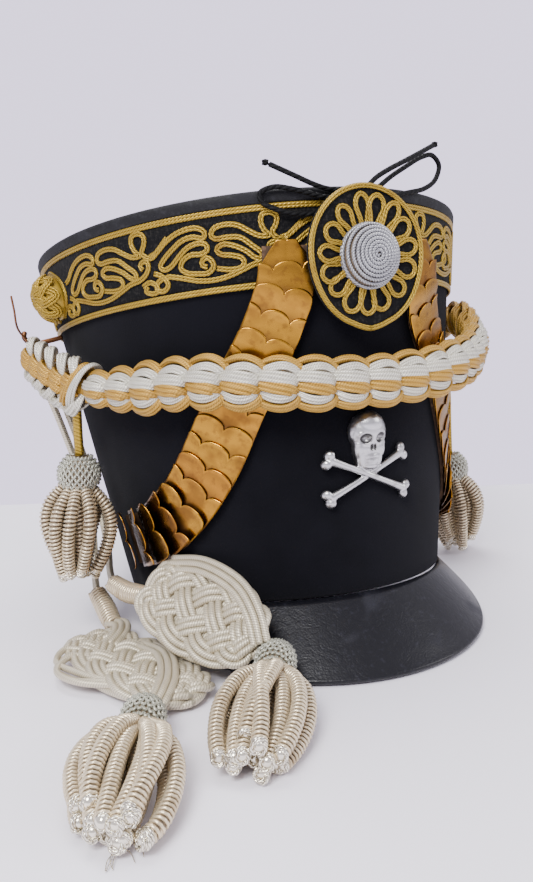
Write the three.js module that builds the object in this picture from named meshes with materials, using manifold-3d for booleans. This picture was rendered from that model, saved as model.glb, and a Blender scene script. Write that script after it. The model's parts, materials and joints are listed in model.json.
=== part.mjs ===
// A hussar officer's shako: a tall black felt cap that widens towards a flat leather crown.
// Millimetres, +Z up, the front towards -Y. The cap rests as it would on a table, tipped back
// on the visor's edge and on the back of its rim. Its loose cords and tassels lie beside it.
import * as THREE from "three";
import { mergeVertices } from "three/addons/utils/BufferGeometryUtils.js";
import Module from "manifold-3d";

const wasm = await Module();
wasm.setup();

// The felt cap. Its rim and crown are ovals, longer from front to back.
const hatHeight = 183.5;
const rimHalfLength = 101;
const rimHalfWidth = 84;
const crownHalfLength = 129;
const crownHalfWidth = 114;
const crownSetback = 9;
const feltWall = 3;
const fitGap = 0.3;
const ovalSteps = 48;

// The leather crown with its turned-down edge
const crownThickness = 2.2;
const crownEdgeDepth = 5.8;
const crownEdgeWall = 1.8;

// The cloth band between two gold pipings
const bandBottom = 143.6;
const bandTop = 176.2;
const bandThickness = 0.9;
const pipingHeight = 2.6;
const pipingDepth = 2.4;

// The leather visor
const visorDepth = 42.8;
const visorDroop = degrees(49);
const visorThickness = 3;
const visorHalfAngle = degrees(66);
const visorEndPower = 6;
const visorEndDepth = 1.2;
const visorSteps = 30;

// The cockade: a pointed oval plate with a cord edge, looped petals and a spiral boss
const cockadeHeight = 152.3;
const cockadeHalfWidth = 29.6;
const cockadeRise = 31.2;
const cockadeThickness = 2.8;
const cockadeStandOff = 6.2;
const cockadePadRadius = 19;
const cockadeCord = 2.6;
const petalCount = 15;
const petalReach = 26.2;
const petalValley = 21.5;
const petalCord = 2.2;
const petalRelief = 1.6;
const bossRadius = 14;
const bossHeight = 9.5;
const bossTurns = 5;

// The badge: a skull over two crossed bones, in cast relief
const badgeHeight = 61;
const skullRadius = 9.6;
const skullRise = 11.5;
const skullFlatness = 0.75;
const jawRadius = 5.4;
const chinRadius = 4.2;
const jawHeight = 9;
const jawDrop = 10;
const eyeRadius = 2.7;
const eyeAside = 3.9;
const eyeDrop = 1.6;
const eyeDepth = 6.6;
const noseRadius = 1.5;
const noseHeight = 3.4;
const noseDrop = 5.2;
const noseDepth = 5.8;
const boneHalfLength = 21.5;
const boneRadius = 2.1;
const boneKnob = 3.1;
const boneTilt = degrees(24);
const boneDrop = 6.5;

// The chin straps, fastened up under the cockade
const strapWidth = 29;
const strapTopWidth = 23;
const strapLeather = 1.5;
const strapMargin = 1.5;
const strapLiftStart = 16;
const strapLiftEnd = 5;
const scaleThickness = 0.9;
const scaleRise = 0.9;
const scaleCount = 20;
const flaredScales = 5;
const flareRise = 3;

// The side rosettes and the hooks under them
const rosetteHeight = 158;
const rosetteAngle = degrees(86);
const rosetteHalfHeight = 12.3;
const rosetteHalfWidth = 11.5;
const rosetteRise = 13.5;
const hookAngle = degrees(94);
const hookHeight = 140;
const hookReach = 21;
const hookWire = 3;

// The plaited festoon across the front
const festoonHeight = 25;
const festoonDepth = 15;
const festoonPitch = 16;
const festoonWaist = 0.9;

// The hanging and lying cords
const tasselCord = 5;
const flounderCord = 4;
const tieCord = 2.3;
const tieTip = 1.8;

// The tassels: a netted head and thick coiled bullions
const hangingHeadRadius = 10.8;
const lyingHeadRadius = 9;
const hangingTasselLength = 61;
const lyingTasselLength = 74;
const tasselSpread = 15.5;
const bullionRadius = 3.4;
const lyingFlatness = 0.55;
const bullionCount = 9;

// The flounders: flat oval mats of plaited cord
const flounderThickness = 8;
const flounderLength = 100;
const flounderWidth = 44;
const leaningFlounderLength = 78;
const stemRadius = 5;

// Places on the table, as [x, y, z] before the cap is centred. The loose cords are drawn
// by hand along these points, from the cap down to the table.
const rightTasselCord = [[-112.6, -8.5, 116.7], [-113, -8.5, 104], [-113, -8.5, 93.8]];
const leftTasselCord = [
  [123.5, 10.5, 135.2], [126, 9.5, 124], [127, 9, 104], [127, 8.5, 84], [127.3, 8, 64.6],
];
const rightTasselTop = [-113, -8.5, 93.2];
const rightTasselFoot = [-119, -8.5, 30];
const leftTasselTop = [127.5, 8, 64];
const leftTasselFoot = [134, 6, 6];
const leaningFlounderCentre = [-78, -77.4, 27.6];
const leaningFlounderAlong = [0.376, -0.912, -0.16];
const leaningFlounderAcross = [0.68, 0.14, 0.72];
const flatFlounderCentre = [-109, -66, 4.8];
const flatFlounderAlong = [0.277, -0.96, 0];
const flatFlounderAcross = [0.96, 0.277, 0];
const leaningTasselTop = [-55.4, -111.9, 16.1];
const leaningTasselFoot = [-91, -172, 13.2];
const flatTasselTop = [-117.5, -121.5, 10.5];
const flatTasselFoot = [-150, -186, 13.2];
const leaningStem = [[-101, -9, 24.5], [-97, -24, 23.5], [-93, -36, 25], [-91.3, -41.7, 26]];
const flatStem = [[-107.2, 3.4, 17], [-105.5, -8, 11], [-105, -18, 7.2], [-104.4, -21.5, 6.4]];
const leaningStemCord = [
  [-121, 37.6, 146.8], [-113.5, 44.5, 130], [-103, 52, 100], [-96, 50, 72], [-92.5, 44, 48],
  [-94, 26, 32], [-98.5, 6, 26.5], [-100.9, -8, 24.6],
];
const flatStemCord = [
  [-125.8, 37.5, 146.6], [-119, 43.5, 128], [-108.5, 51, 98], [-101, 51, 70], [-98, 44, 46],
  [-101, 30, 26], [-105, 14, 20.5], [-106.8, 4.6, 17.6],
];
const flatTasselLink = [[-111.9, -107.7, 5.9], [-115, -114, 8.2], [-117.1, -120, 10.1]];

function degrees(angle) {
  return (angle * Math.PI) / 180;
}

const mix = THREE.MathUtils.lerp;
const visorDrop = visorDepth * Math.sin(visorDroop);
const visorReach = visorDepth * Math.cos(visorDroop);
const visorUnderReach = visorThickness * Math.sin(visorDroop);
const visorUnderDrop = visorThickness * Math.cos(visorDroop);

// The cap leans back until the visor's lower edge and the back of the rim are level
const restTilt = Math.atan2(
  visorDrop + fitGap + visorUnderDrop,
  2 * rimHalfLength + visorReach - visorUnderReach,
);
const restRise = rimHalfLength * Math.sin(restTilt);

// A point on the felt's outer face, or `out` beyond it. The angle runs from the front
// towards the wearer's right.
function onHat(angle, height, out = 0) {
  const share = height / hatHeight;
  const halfLength = mix(rimHalfLength, crownHalfLength, share) + out;
  const halfWidth = mix(rimHalfWidth, crownHalfWidth, share) + out;
  return new THREE.Vector3(
    -halfWidth * Math.sin(angle),
    crownSetback * share - halfLength * Math.cos(angle),
    height,
  );
}

// Points and faces made one closed body with its faces outwards
function bodyFrom(points, faces) {
  let volume = 0;
  for (let i = 0; i < faces.length; i += 3) {
    const [a, b, c] = [points[faces[i]], points[faces[i + 1]], points[faces[i + 2]]];
    volume += a.dot(new THREE.Vector3().crossVectors(b, c));
  }
  const order = volume < 0 ? faces.slice().reverse() : faces;
  const geometry = new THREE.BufferGeometry();
  const numbers = points.flatMap((point) => point.toArray());
  geometry.setAttribute("position", new THREE.Float32BufferAttribute(numbers, 3));
  geometry.setIndex(order);
  return geometry;
}

// A skin through rows of points. It closes on itself, or has a flat fan at each end.
function loft(rows, joined = false) {
  const count = rows[0].length;
  const points = rows.flat();
  const faces = [];
  const spans = joined ? rows.length : rows.length - 1;
  for (let row = 0; row < spans; row += 1) {
    const next = (row + 1) % rows.length;
    for (let i = 0; i < count; i += 1) {
      const j = (i + 1) % count;
      const [a, b] = [row * count + i, row * count + j];
      const [c, d] = [next * count + j, next * count + i];
      faces.push(a, b, c, a, c, d);
    }
  }
  if (!joined) {
    const ends = [[0, 1, 0], [rows.length - 1, 0, 1]];
    for (const [row, first, second] of ends) {
      const centre = new THREE.Vector3();
      rows[row].forEach((point) => centre.addScaledVector(point, 1 / count));
      points.push(centre);
      for (let i = 0; i < count; i += 1) {
        const pair = [row * count + i, row * count + ((i + 1) % count)];
        faces.push(pair[first], pair[second], points.length - 1);
      }
    }
  }
  return bodyFrom(points, faces);
}

function ovalRow(out, height, steps = ovalSteps) {
  return Array.from({ length: steps }, (_, i) => onHat((2 * Math.PI * i) / steps, height, out));
}

// A ring round the cap from a section of [out, height] corners
function ringOf(section) {
  const rows = Array.from({ length: ovalSteps }, (_, i) => {
    const angle = (2 * Math.PI * i) / ovalSteps;
    return section.map(([out, height]) => onHat(angle, height, out));
  });
  return loft(rows, true);
}

function circleShape(radius, sides) {
  const corners = Array.from({ length: sides }, (_, i) => {
    const turn = (2 * Math.PI * (i + 0.5)) / sides;
    return new THREE.Vector2(radius * Math.cos(turn), radius * Math.sin(turn));
  });
  return new THREE.Shape(corners);
}

// A round cord along a curve
function cordAlong(points, diameter, steps, sides = 8) {
  return new THREE.ExtrudeGeometry(circleShape(diameter / 2, sides), {
    steps,
    extrudePath: new THREE.CatmullRomCurve3(points, false, "centripetal"),
  });
}

// Joins and cuts
function solidOf(geometry) {
  const plain = geometry.clone();
  plain.deleteAttribute("normal");
  plain.deleteAttribute("uv");
  const merged = mergeVertices(plain, 1e-4);
  const mesh = new wasm.Mesh({
    numProp: 3,
    vertProperties: new Float32Array(merged.attributes.position.array),
    triVerts: new Uint32Array(merged.index.array),
  });
  return new wasm.Manifold(mesh);
}

function geometryOf(solid) {
  const mesh = solid.getMesh();
  const geometry = new THREE.BufferGeometry();
  geometry.setAttribute("position", new THREE.Float32BufferAttribute(mesh.vertProperties, 3));
  geometry.setIndex(Array.from(mesh.triVerts));
  return geometry;
}

function joined(geometries) {
  return geometryOf(geometries.map(solidOf).reduce((whole, piece) => whole.add(piece)));
}

function placed(geometry, { turn = [0, 0, 0], at = [0, 0, 0], scale = [1, 1, 1] }) {
  const matrix = new THREE.Matrix4().compose(
    new THREE.Vector3(...at),
    new THREE.Quaternion().setFromEuler(new THREE.Euler(...turn)),
    new THREE.Vector3(...scale),
  );
  return geometry.applyMatrix4(matrix);
}

// Finishes
function finish(color, roughness, metalness) {
  return new THREE.MeshStandardMaterial({ color, roughness, metalness });
}

const felt = finish(0x111116, 0.95, 0);
const crownLeather = finish(0x33333a, 0.6, 0);
const visorLeather = finish(0x2b2a33, 0.35, 0);
const blackCloth = finish(0x17181a, 0.9, 0);
const blackCord = finish(0x101013, 0.7, 0);
const strapHide = finish(0x3a2a1c, 0.7, 0);
const goldCord = finish(0xc9a24b, 0.45, 0.5);
const silverCord = finish(0xd6d0c2, 0.4, 0.5);
const brass = finish(0xc98a35, 0.3, 1);
const silver = finish(0xd8d8d6, 0.3, 1);

const cap = new THREE.Group();
const table = new THREE.Group();

function add(group, name, geometry, material) {
  const mesh = new THREE.Mesh(geometry, material);
  mesh.name = name;
  group.add(mesh);
  return mesh;
}

// Felt, crown, band and pipings
function feltBody() {
  const top = hatHeight - crownThickness - fitGap;
  return ringOf([[-feltWall, 0], [0, 0], [0, top], [-feltWall, top]]);
}

function crown() {
  const inside = fitGap;
  const outside = fitGap + crownEdgeWall;
  const bevel = 1;
  return loft([
    ovalRow(inside, hatHeight - crownThickness),
    ovalRow(inside, hatHeight - crownEdgeDepth),
    ovalRow(outside, hatHeight - crownEdgeDepth),
    ovalRow(outside, hatHeight - bevel),
    ovalRow(outside - bevel, hatHeight),
  ]);
}

function piping(height) {
  const half = pipingHeight / 2;
  const near = fitGap;
  const far = fitGap + pipingDepth;
  return ringOf([
    [near, height - half],
    [mix(near, far, 0.6), height - half],
    [far, height],
    [mix(near, far, 0.6), height + half],
    [near, height + half],
  ]);
}

function bandCloth() {
  const low = bandBottom + pipingHeight / 2 + fitGap;
  const high = bandTop - pipingHeight / 2 - fitGap;
  const far = fitGap + bandThickness;
  return ringOf([[fitGap, low], [far, low], [far, high], [fitGap, high]]);
}

// How deep the visor is at an angle, so that its lower edge lies level on the table
function visorDepthAt(angle) {
  const lean = Math.sin(restTilt) * Math.cos(angle);
  const level =
    (rimHalfLength - visorUnderReach) * lean -
    (fitGap + visorUnderDrop) * Math.cos(restTilt) +
    restRise;
  const slope = Math.sin(visorDroop) * Math.cos(restTilt) - Math.cos(visorDroop) * lean;
  const share = 1 - Math.abs(angle / visorHalfAngle) ** visorEndPower;
  return Math.max((level / slope) * share, visorEndDepth);
}

// A point `depth` down the visor and `above` its upper face
function onVisor(angle, depth, above = 0) {
  const out = depth * Math.cos(visorDroop) + above * Math.sin(visorDroop);
  const drop = depth * Math.sin(visorDroop) - above * Math.cos(visorDroop);
  return onHat(angle, 0, out).setZ(-fitGap - drop);
}

function visor() {
  const rows = [];
  for (let step = 0; step <= visorSteps; step += 1) {
    const angle = mix(-visorHalfAngle, visorHalfAngle, step / visorSteps);
    const depth = visorDepthAt(angle);
    rows.push([
      onVisor(angle, 0),
      onVisor(angle, depth * 0.5),
      onVisor(angle, depth),
      onVisor(angle, depth, -visorThickness),
      onVisor(angle, 0, -visorThickness),
    ]);
  }
  return loft(rows);
}

// The cockade stands against the front, in the plane that touches the felt there
const frontLean = Math.atan2(crownHalfLength - rimHalfLength - crownSetback, hatHeight);

function cockadeGroup() {
  const group = new THREE.Group();
  group.position.copy(onHat(0, cockadeHeight));
  group.rotation.x = Math.PI / 2 + frontLean;
  return group;
}

// The plate's outline: a round top, and sides that run down to a point
function cockadeRadius(turn) {
  const down = (1 - Math.sin(turn)) / 2;
  const squeeze = 1 - 0.09 * down ** 2 * Math.cos(turn) ** 2;
  const across = cockadeHalfWidth * Math.cos(turn) * squeeze;
  const along = cockadeRise * Math.sin(turn);
  return Math.hypot(across, along);
}

function cockadeOutline(inset, steps) {
  return Array.from({ length: steps }, (_, i) => {
    const turn = (2 * Math.PI * i) / steps - Math.PI / 2;
    const radius = cockadeRadius(turn) - inset;
    return new THREE.Vector2(radius * Math.cos(turn), radius * Math.sin(turn));
  });
}

function cockadePlate() {
  const plate = new THREE.ExtrudeGeometry(new THREE.Shape(cockadeOutline(0, 32)), {
    depth: cockadeThickness,
    bevelEnabled: false,
  }).translate(0, 0, cockadeStandOff);
  const padDepth = cockadeStandOff - pipingDepth - 2 * fitGap;
  const pad = new THREE.CylinderGeometry(cockadePadRadius, cockadePadRadius, padDepth + 1, 16);
  placed(pad, { turn: [Math.PI / 2, 0, 0], at: [0, 0, cockadeStandOff - padDepth / 2 + 0.5] });
  return joined([plate, pad]);
}

function cockadeEdge() {
  const low = cockadeStandOff + cockadeThickness + fitGap;
  const sides = 6;
  const rows = cockadeOutline(cockadeCord / 2, 32).map((middle) => {
    const radial = middle.clone().normalize();
    return Array.from({ length: sides }, (_, i) => {
      const turn = (2 * Math.PI * i) / sides;
      const across = (cockadeCord / 2) * Math.cos(turn);
      const up = low + (cockadeCord / 2) * (1 + Math.sin(turn)) * 0.85;
      return new THREE.Vector3(middle.x + radial.x * across, middle.y + radial.y * across, up);
    });
  });
  return loft(rows, true);
}

// The petals: flat loops of cord side by side, open in the middle, that start under the boss
function cockadePetals() {
  const low = cockadeStandOff + cockadeThickness + fitGap;
  const pitch = (2 * Math.PI) / petalCount;
  const polar = ([turn, radius]) => {
    return new THREE.Vector2(radius * Math.cos(turn), radius * Math.sin(turn));
  };
  const shoulder = 0.93 * petalReach;
  const lobe = [
    [-0.5, petalValley], [-0.38, shoulder], [-0.18, petalReach], [0.18, petalReach], [0.38, shoulder],
  ];
  const [foot, bend] = [bossRadius + 1, petalReach - 1.6 * petalCord];
  const opening = [
    [-0.16, foot], [0.16, foot], [0.2, bend], [0, petalReach - petalCord], [-0.2, bend],
  ];
  const outline = [];
  const holes = [];
  for (let i = 0; i < petalCount; i += 1) {
    const turned = ([share, radius]) => polar([pitch * (i + 0.4 + share), radius]);
    outline.push(...lobe.map(turned));
    holes.push(new THREE.Path(opening.map(turned)));
  }
  const shape = new THREE.Shape(outline);
  shape.holes.push(...holes);
  const petals = new THREE.ExtrudeGeometry(shape, { depth: petalRelief, bevelEnabled: false });
  return petals.translate(0, 0, low);
}

// The boss is a dome of cord wound in turns, shown here as rounded steps
function cockadeBoss() {
  const low = cockadeStandOff + cockadeThickness + petalRelief + 2 * fitGap;
  const profile = [new THREE.Vector2(0, 0), new THREE.Vector2(bossRadius, 0)];
  for (let turn = 0; turn < bossTurns; turn += 1) {
    const [outer, inner] = [1 - turn / bossTurns, 1 - (turn + 0.85) / bossTurns];
    for (const share of [outer - 0.03, inner]) {
      const rise = bossHeight * Math.sqrt(1 - share ** 2) * (share === inner ? 0.97 : 1);
      profile.push(new THREE.Vector2(bossRadius * share, Math.max(rise, 1.2)));
    }
  }
  profile.push(new THREE.Vector2(0, bossHeight * 0.94));
  const dome = new THREE.LatheGeometry(profile, 20);
  return placed(dome, { turn: [Math.PI / 2, 0, 0] }).translate(0, 0, low);
}

// A relief bent round the front of the cap, its back flattened: x across, y up and z out
function bentRound(geometry, height) {
  const position = geometry.attributes.position;
  for (let i = 0; i < position.count; i += 1) {
    const [x, y] = [position.getX(i), position.getY(i)];
    const z = Math.max(position.getZ(i), 0) + fitGap;
    const halfWidth = mix(rimHalfWidth, crownHalfWidth, (height + y) / hatHeight) + z;
    const point = onHat(-Math.asin(x / halfWidth), height + y, z);
    position.setXYZ(i, point.x, point.y, point.z);
  }
  return geometry;
}

function bone(tilt) {
  const shaft = new THREE.CylinderGeometry(boneRadius, boneRadius, 2 * boneHalfLength, 6, 4);
  const pieces = [placed(shaft, { turn: [0, 0, Math.PI / 2] })];
  for (const end of [-1, 1]) {
    for (const side of [-1, 1]) {
      const at = [end * boneHalfLength, side * boneKnob * 0.75, 0];
      pieces.push(placed(new THREE.SphereGeometry(boneKnob, 6, 4), { at }));
    }
  }
  return placed(joined(pieces), { turn: [0, 0, tilt], at: [0, -boneDrop, 0] });
}

function skull() {
  const dome = placed(new THREE.SphereGeometry(skullRadius, 12, 7), {
    turn: [Math.PI / 2, 0, 0],
    at: [0, skullRise + 1, 0],
    scale: [1, 1, skullFlatness],
  });
  const jaw = placed(new THREE.CylinderGeometry(jawRadius, chinRadius, jawHeight, 8), {
    at: [0, skullRise - jawDrop, 0.4],
    scale: [1, 1, 0.8],
  });
  let head = solidOf(dome).add(solidOf(jaw));
  for (const side of [-1, 1]) {
    const at = [side * eyeAside, skullRise - eyeDrop, eyeDepth];
    head = head.subtract(solidOf(placed(new THREE.SphereGeometry(eyeRadius, 6, 4), { at })));
  }
  const nose = placed(new THREE.ConeGeometry(noseRadius, noseHeight, 4), {
    at: [0, skullRise - noseDrop, noseDepth],
  });
  return geometryOf(head.subtract(solidOf(nose)));
}

function badge() {
  return bentRound(joined([skull(), bone(boneTilt), bone(-boneTilt)]), badgeHeight);
}

// The chin strap's middle line. Heights are shares of the cap's height.
const strapLine = [
  { angle: 17.5, height: 0.865 },
  { angle: 18.2, height: 0.78 },
  { angle: 21.8, height: 0.69 },
  { angle: 25.8, height: 0.618 },
  { angle: 33.6, height: 0.505 },
  { angle: 41.6, height: 0.384 },
  { angle: 49.4, height: 0.295 },
  { angle: 57.5, height: 0.232 },
  { angle: 67, height: 0.187 },
  { angle: 75, height: 0.17 },
  { angle: 81, height: 0.162 },
];

// Strap rows: where the middle is, which way is across, and how far out the strap lies
function strapRows(side, count) {
  const flat = strapLine.map((row) => new THREE.Vector3(degrees(row.angle), row.height, 0));
  const line = new THREE.CatmullRomCurve3(flat, false, "centripetal");
  const middle = (share) => {
    const { x, y } = line.getPoint(share);
    return { angle: x, height: y * hatHeight };
  };
  return Array.from({ length: count + 1 }, (_, i) => {
    const share = i / count;
    const { angle, height } = middle(share);
    const before = middle(Math.max(share - 0.01, 0));
    const after = middle(Math.min(share + 0.01, 1));
    const start = onHat(before.angle, before.height);
    const run = onHat(after.angle, after.height).sub(start).normalize();
    const normal = new THREE.Vector3(-Math.sin(angle), -Math.cos(angle), 0.1).normalize();
    const across = new THREE.Vector3().crossVectors(normal, run).normalize();
    const overBand = THREE.MathUtils.smoothstep(
      height,
      bandBottom - strapLiftStart,
      bandBottom - strapLiftEnd,
    );
    const out = fitGap + overBand * (pipingDepth + fitGap);
    const width = mix(strapTopWidth, strapWidth, Math.min(share * 1.8, 1));
    const along = (x, rise) => {
      const rough = onHat(angle, height).addScaledVector(across, x);
      const at = fromHat(rough);
      const point = onHat(at.angle, at.height, out + rise);
      return new THREE.Vector3(side * point.x, point.y, point.z);
    };
    return { along, width, share };
  });
}

// The angle and height on the cap that lie nearest to a point beside it
function fromHat(point) {
  const share = point.z / hatHeight;
  const halfLength = mix(rimHalfLength, crownHalfLength, share);
  const halfWidth = mix(rimHalfWidth, crownHalfWidth, share);
  const angle = Math.atan2(-point.x / halfWidth, (crownSetback * share - point.y) / halfLength);
  return { angle, height: point.z };
}

function chinStrap(side) {
  const rows = strapRows(side, 20).map(({ along, width }) => {
    const half = width / 2 - strapMargin;
    return [
      along(-half, 0), along(0, 0), along(half, 0),
      along(half, strapLeather), along(0, strapLeather), along(-half, strapLeather),
    ];
  });
  return loft(rows);
}

// The scales overlap like tiles. Each one's free upper end lies over the scale above it.
function chinScales(side) {
  const low = strapLeather + fitGap;
  const rows = strapRows(side, scaleCount);
  const sections = [];
  for (let i = 0; i < scaleCount; i += 1) {
    const flare = Math.max(0, i - (scaleCount - flaredScales) + 1) / flaredScales;
    const raised = low + scaleThickness + scaleRise + flare * flareRise;
    const ends = [
      [rows[i], raised],
      [between(rows[i], rows[i + 1]), low + scaleThickness],
    ];
    for (const [row, top] of ends) {
      const half = row.width / 2;
      const across = [-half, -half / 3, half / 3, half];
      const under = across.map((x) => row.along(x, low));
      const over = across.map((x) => row.along(x, top)).reverse();
      sections.push([...under, ...over]);
    }
  }
  return loft(sections);
}

// A row just before the next one, where a scale goes under the next one's free end
function between(row, next) {
  const near = 0.92;
  return {
    width: mix(row.width, next.width, near),
    along: (x, rise) => row.along(x, rise).lerp(next.along(x, rise), near),
  };
}

// Side rosettes: a dome with the swells of its woven knot
function sideRosette(side) {
  const steps = 14;
  const rows = [0, 0.38, 0.7, 0.92, 1].map((share) => {
    const rise = rosetteRise * share;
    const spread = Math.sqrt(1 - (share * 0.93) ** 2);
    return Array.from({ length: steps }, (_, i) => {
      const turn = (2 * Math.PI * i) / steps;
      const swell = spread * (1 + (i % 2 ? 0.05 : -0.04));
      const height = rosetteHeight + rosetteHalfHeight * swell * Math.sin(turn);
      const turnOnHat = (rosetteHalfWidth * swell * Math.cos(turn)) / rimHalfLength / 1.2;
      const point = onHat(rosetteAngle + turnOnHat, height, bandThickness + 2 * fitGap + rise);
      return new THREE.Vector3(side * point.x, point.y, point.z);
    });
  });
  return loft(rows);
}

// The plain hook that the festoon hangs from
function sideHook(side) {
  const points = [
    [bandThickness + 2 * fitGap, 0],
    [hookReach * 0.45, -1.5],
    [hookReach * 0.85, -2.5],
    [hookReach, 1],
    [hookReach - 1, 4],
  ].map(([out, rise]) => {
    const point = onHat(hookAngle, hookHeight + rise, out);
    return new THREE.Vector3(side * point.x, point.y, point.z);
  });
  return cordAlong(points, hookWire, 8, 6);
}

// The festoon's middle line, from the wearer's left hook to the right one
const festoonLine = [
  { angle: -93, height: 0.7, out: 17.6 },
  { angle: -84, height: 0.722, out: 16.2 },
  { angle: -75, height: 0.722, out: 16 },
  { angle: -66, height: 0.692, out: 16 },
  { angle: -57, height: 0.647, out: 16 },
  { angle: -47, height: 0.604, out: 14.5 },
  { angle: -38, height: 0.575, out: 13.2 },
  { angle: -29, height: 0.56, out: 12.8 },
  { angle: -17, height: 0.537, out: 11.5 },
  { angle: 0, height: 0.527, out: 9.6 },
  { angle: 17, height: 0.537, out: 11.5 },
  { angle: 29, height: 0.552, out: 12.8 },
  { angle: 40, height: 0.566, out: 12 },
  { angle: 52, height: 0.569, out: 9.6 },
  { angle: 62, height: 0.576, out: 9.6 },
  { angle: 70, height: 0.588, out: 11 },
  { angle: 77, height: 0.606, out: 13.5 },
  { angle: 84, height: 0.65, out: 17 },
  { angle: 90, height: 0.69, out: 19 },
];

function festoonFront() {
  const middle = festoonLine.map((row) => onHat(degrees(row.angle), row.height * hatHeight, row.out));
  const curve = new THREE.CatmullRomCurve3(middle, false, "centripetal");
  const steps = Math.round((2 * curve.getLength()) / festoonPitch);
  const rows = [];
  for (let step = 0; step <= steps; step += 1) {
    const centre = curve.getPointAt(step / steps);
    const run = curve.getTangentAt(step / steps);
    const { angle } = fromHat(centre);
    const flatNormal = new THREE.Vector3(-Math.sin(angle), -Math.cos(angle), 0.1);
    const across = new THREE.Vector3().crossVectors(flatNormal, run).normalize();
    const outward = new THREE.Vector3().crossVectors(run, across).normalize();
    const fromEnd = Math.min(step, steps - step) / 2;
    const taper = Math.min(0.62 + 0.38 * fromEnd, 1);
    const swell = taper * (step % 2 ? 1 : festoonWaist);
    rows.push(Array.from({ length: 8 }, (_, i) => {
      const turn = (2 * Math.PI * (i + 0.5)) / 8;
      return centre.clone()
        .addScaledVector(across, (festoonHeight / 2) * swell * Math.cos(turn) * 1.05)
        .addScaledVector(outward, (festoonDepth / 2) * taper * Math.sin(turn) * 1.05);
    }));
  }
  return loft(rows);
}

// A tassel along -Z of its own frame: a netted head over locks of bullion, which swell
// and draw in again at their tips. `drop` is a share of the tassel's length.
const tasselRows = [
  { drop: 0, spread: 0.3, groove: 1, part: "head" },
  { drop: 0.05, spread: 0.8, groove: 1, part: "head" },
  { drop: 0.16, spread: 1, groove: 1, part: "head" },
  { drop: 0.27, spread: 0.88, groove: 1, part: "head" },
  { drop: 0.31, spread: 0.72, groove: 0.9, part: "locks" },
  { drop: 0.46, spread: 1, groove: 0.8, part: "locks" },
  { drop: 0.7, spread: 1.04, groove: 0.76, part: "locks" },
  { drop: 0.9, spread: 0.92, groove: 0.72, part: "locks" },
  { drop: 1, spread: 0.7, groove: 0.7, part: "locks" },
];

function tassel(headRadius, length, flat = 1) {
  const rows = tasselRows.map(({ drop, spread, groove, part }) => {
    const radius = part === "head" ? headRadius : tasselSpread + bullionRadius;
    const deep = part === "head" ? 1 : flat;
    return Array.from({ length: 2 * bullionCount }, (_, i) => {
      const turn = (Math.PI * i) / bullionCount;
      const reach = radius * spread * (i % 2 ? groove : 1);
      return new THREE.Vector3(
        reach * Math.cos(turn),
        reach * Math.sin(turn) * deep,
        -length * drop,
      );
    });
  });
  return loft(rows);
}

// A mesh whose own -Z points from one place to another, with its Y as near to up as can be
function aimed(mesh, from, to) {
  const z = new THREE.Vector3(...from).sub(new THREE.Vector3(...to)).normalize();
  const up = Math.abs(z.z) > 0.8 ? new THREE.Vector3(0, 1, 0) : new THREE.Vector3(0, 0, 1);
  const x = new THREE.Vector3().crossVectors(up, z).normalize();
  const y = new THREE.Vector3().crossVectors(z, x);
  mesh.quaternion.setFromRotationMatrix(new THREE.Matrix4().makeBasis(x, y, z));
  mesh.position.set(...from);
  return mesh;
}

function through(list) {
  return list.map((point) => new THREE.Vector3(...point));
}

// A flounder: an oval mat of plaited cord, with a swell over each crossing
function flounder(length, width) {
  const steps = 20;
  const rings = [[0.55, -1], [0.9, -1], [1, -0.3], [1, 0.4], [0.88, 1], [0.55, 0.7]];
  const rows = rings.map(([share, rise]) =>
    Array.from({ length: steps }, (_, i) => {
      const turn = (2 * Math.PI * i) / steps;
      const wave = 1 + (i % 2 ? 0.035 : -0.02) * share;
      return new THREE.Vector3(
        (length / 2) * share * wave * Math.cos(turn),
        (width / 2) * share * wave * Math.sin(turn),
        (flounderThickness / 2) * rise,
      );
    }),
  );
  return loft(rows);
}

// A mesh whose own X and Y run along two given directions
function laid(mesh, centre, along, across) {
  const x = new THREE.Vector3(...along).normalize();
  const y = new THREE.Vector3(...across);
  y.addScaledVector(x, -x.dot(y)).normalize();
  const z = new THREE.Vector3().crossVectors(x, y);
  mesh.quaternion.setFromRotationMatrix(new THREE.Matrix4().makeBasis(x, y, z));
  mesh.position.set(...centre);
  return mesh;
}

add(cap, "felt_body", feltBody(), felt);
add(cap, "crown_leather", crown(), crownLeather);
add(cap, "band_cloth", bandCloth(), blackCloth);
add(cap, "band_piping_lower", piping(bandBottom), goldCord);
add(cap, "band_piping_upper", piping(bandTop), goldCord);
add(cap, "visor", visor(), visorLeather);
add(cap, "badge", badge(), silver);

const cockade = cockadeGroup();
add(cockade, "cockade_plate", cockadePlate(), blackCloth);
add(cockade, "cockade_edge_cord", cockadeEdge(), goldCord);
add(cockade, "cockade_petals", cockadePetals(), goldCord);
add(cockade, "cockade_boss", cockadeBoss(), silverCord);
cap.add(cockade);

for (const [name, side] of [["right", 1], ["left", -1]]) {
  add(cap, `chin_strap_${name}`, chinStrap(side), strapHide);
  add(cap, `chin_scales_${name}`, chinScales(side), brass);
  add(cap, `side_rosette_${name}`, sideRosette(side), goldCord);
  add(cap, `side_hook_${name}`, sideHook(side), brass);
}
add(cap, "festoon_plait", festoonFront(), goldCord);

add(table, "tassel_cord_right", cordAlong(through(rightTasselCord), tasselCord, 4), goldCord);
add(table, "tassel_cord_left", cordAlong(through(leftTasselCord), tasselCord, 8), goldCord);
aimed(
  add(table, "tassel_right", tassel(hangingHeadRadius, hangingTasselLength), silverCord),
  rightTasselTop, rightTasselFoot,
);
aimed(
  add(table, "tassel_left", tassel(hangingHeadRadius, hangingTasselLength), silverCord),
  leftTasselTop, leftTasselFoot,
);

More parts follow.
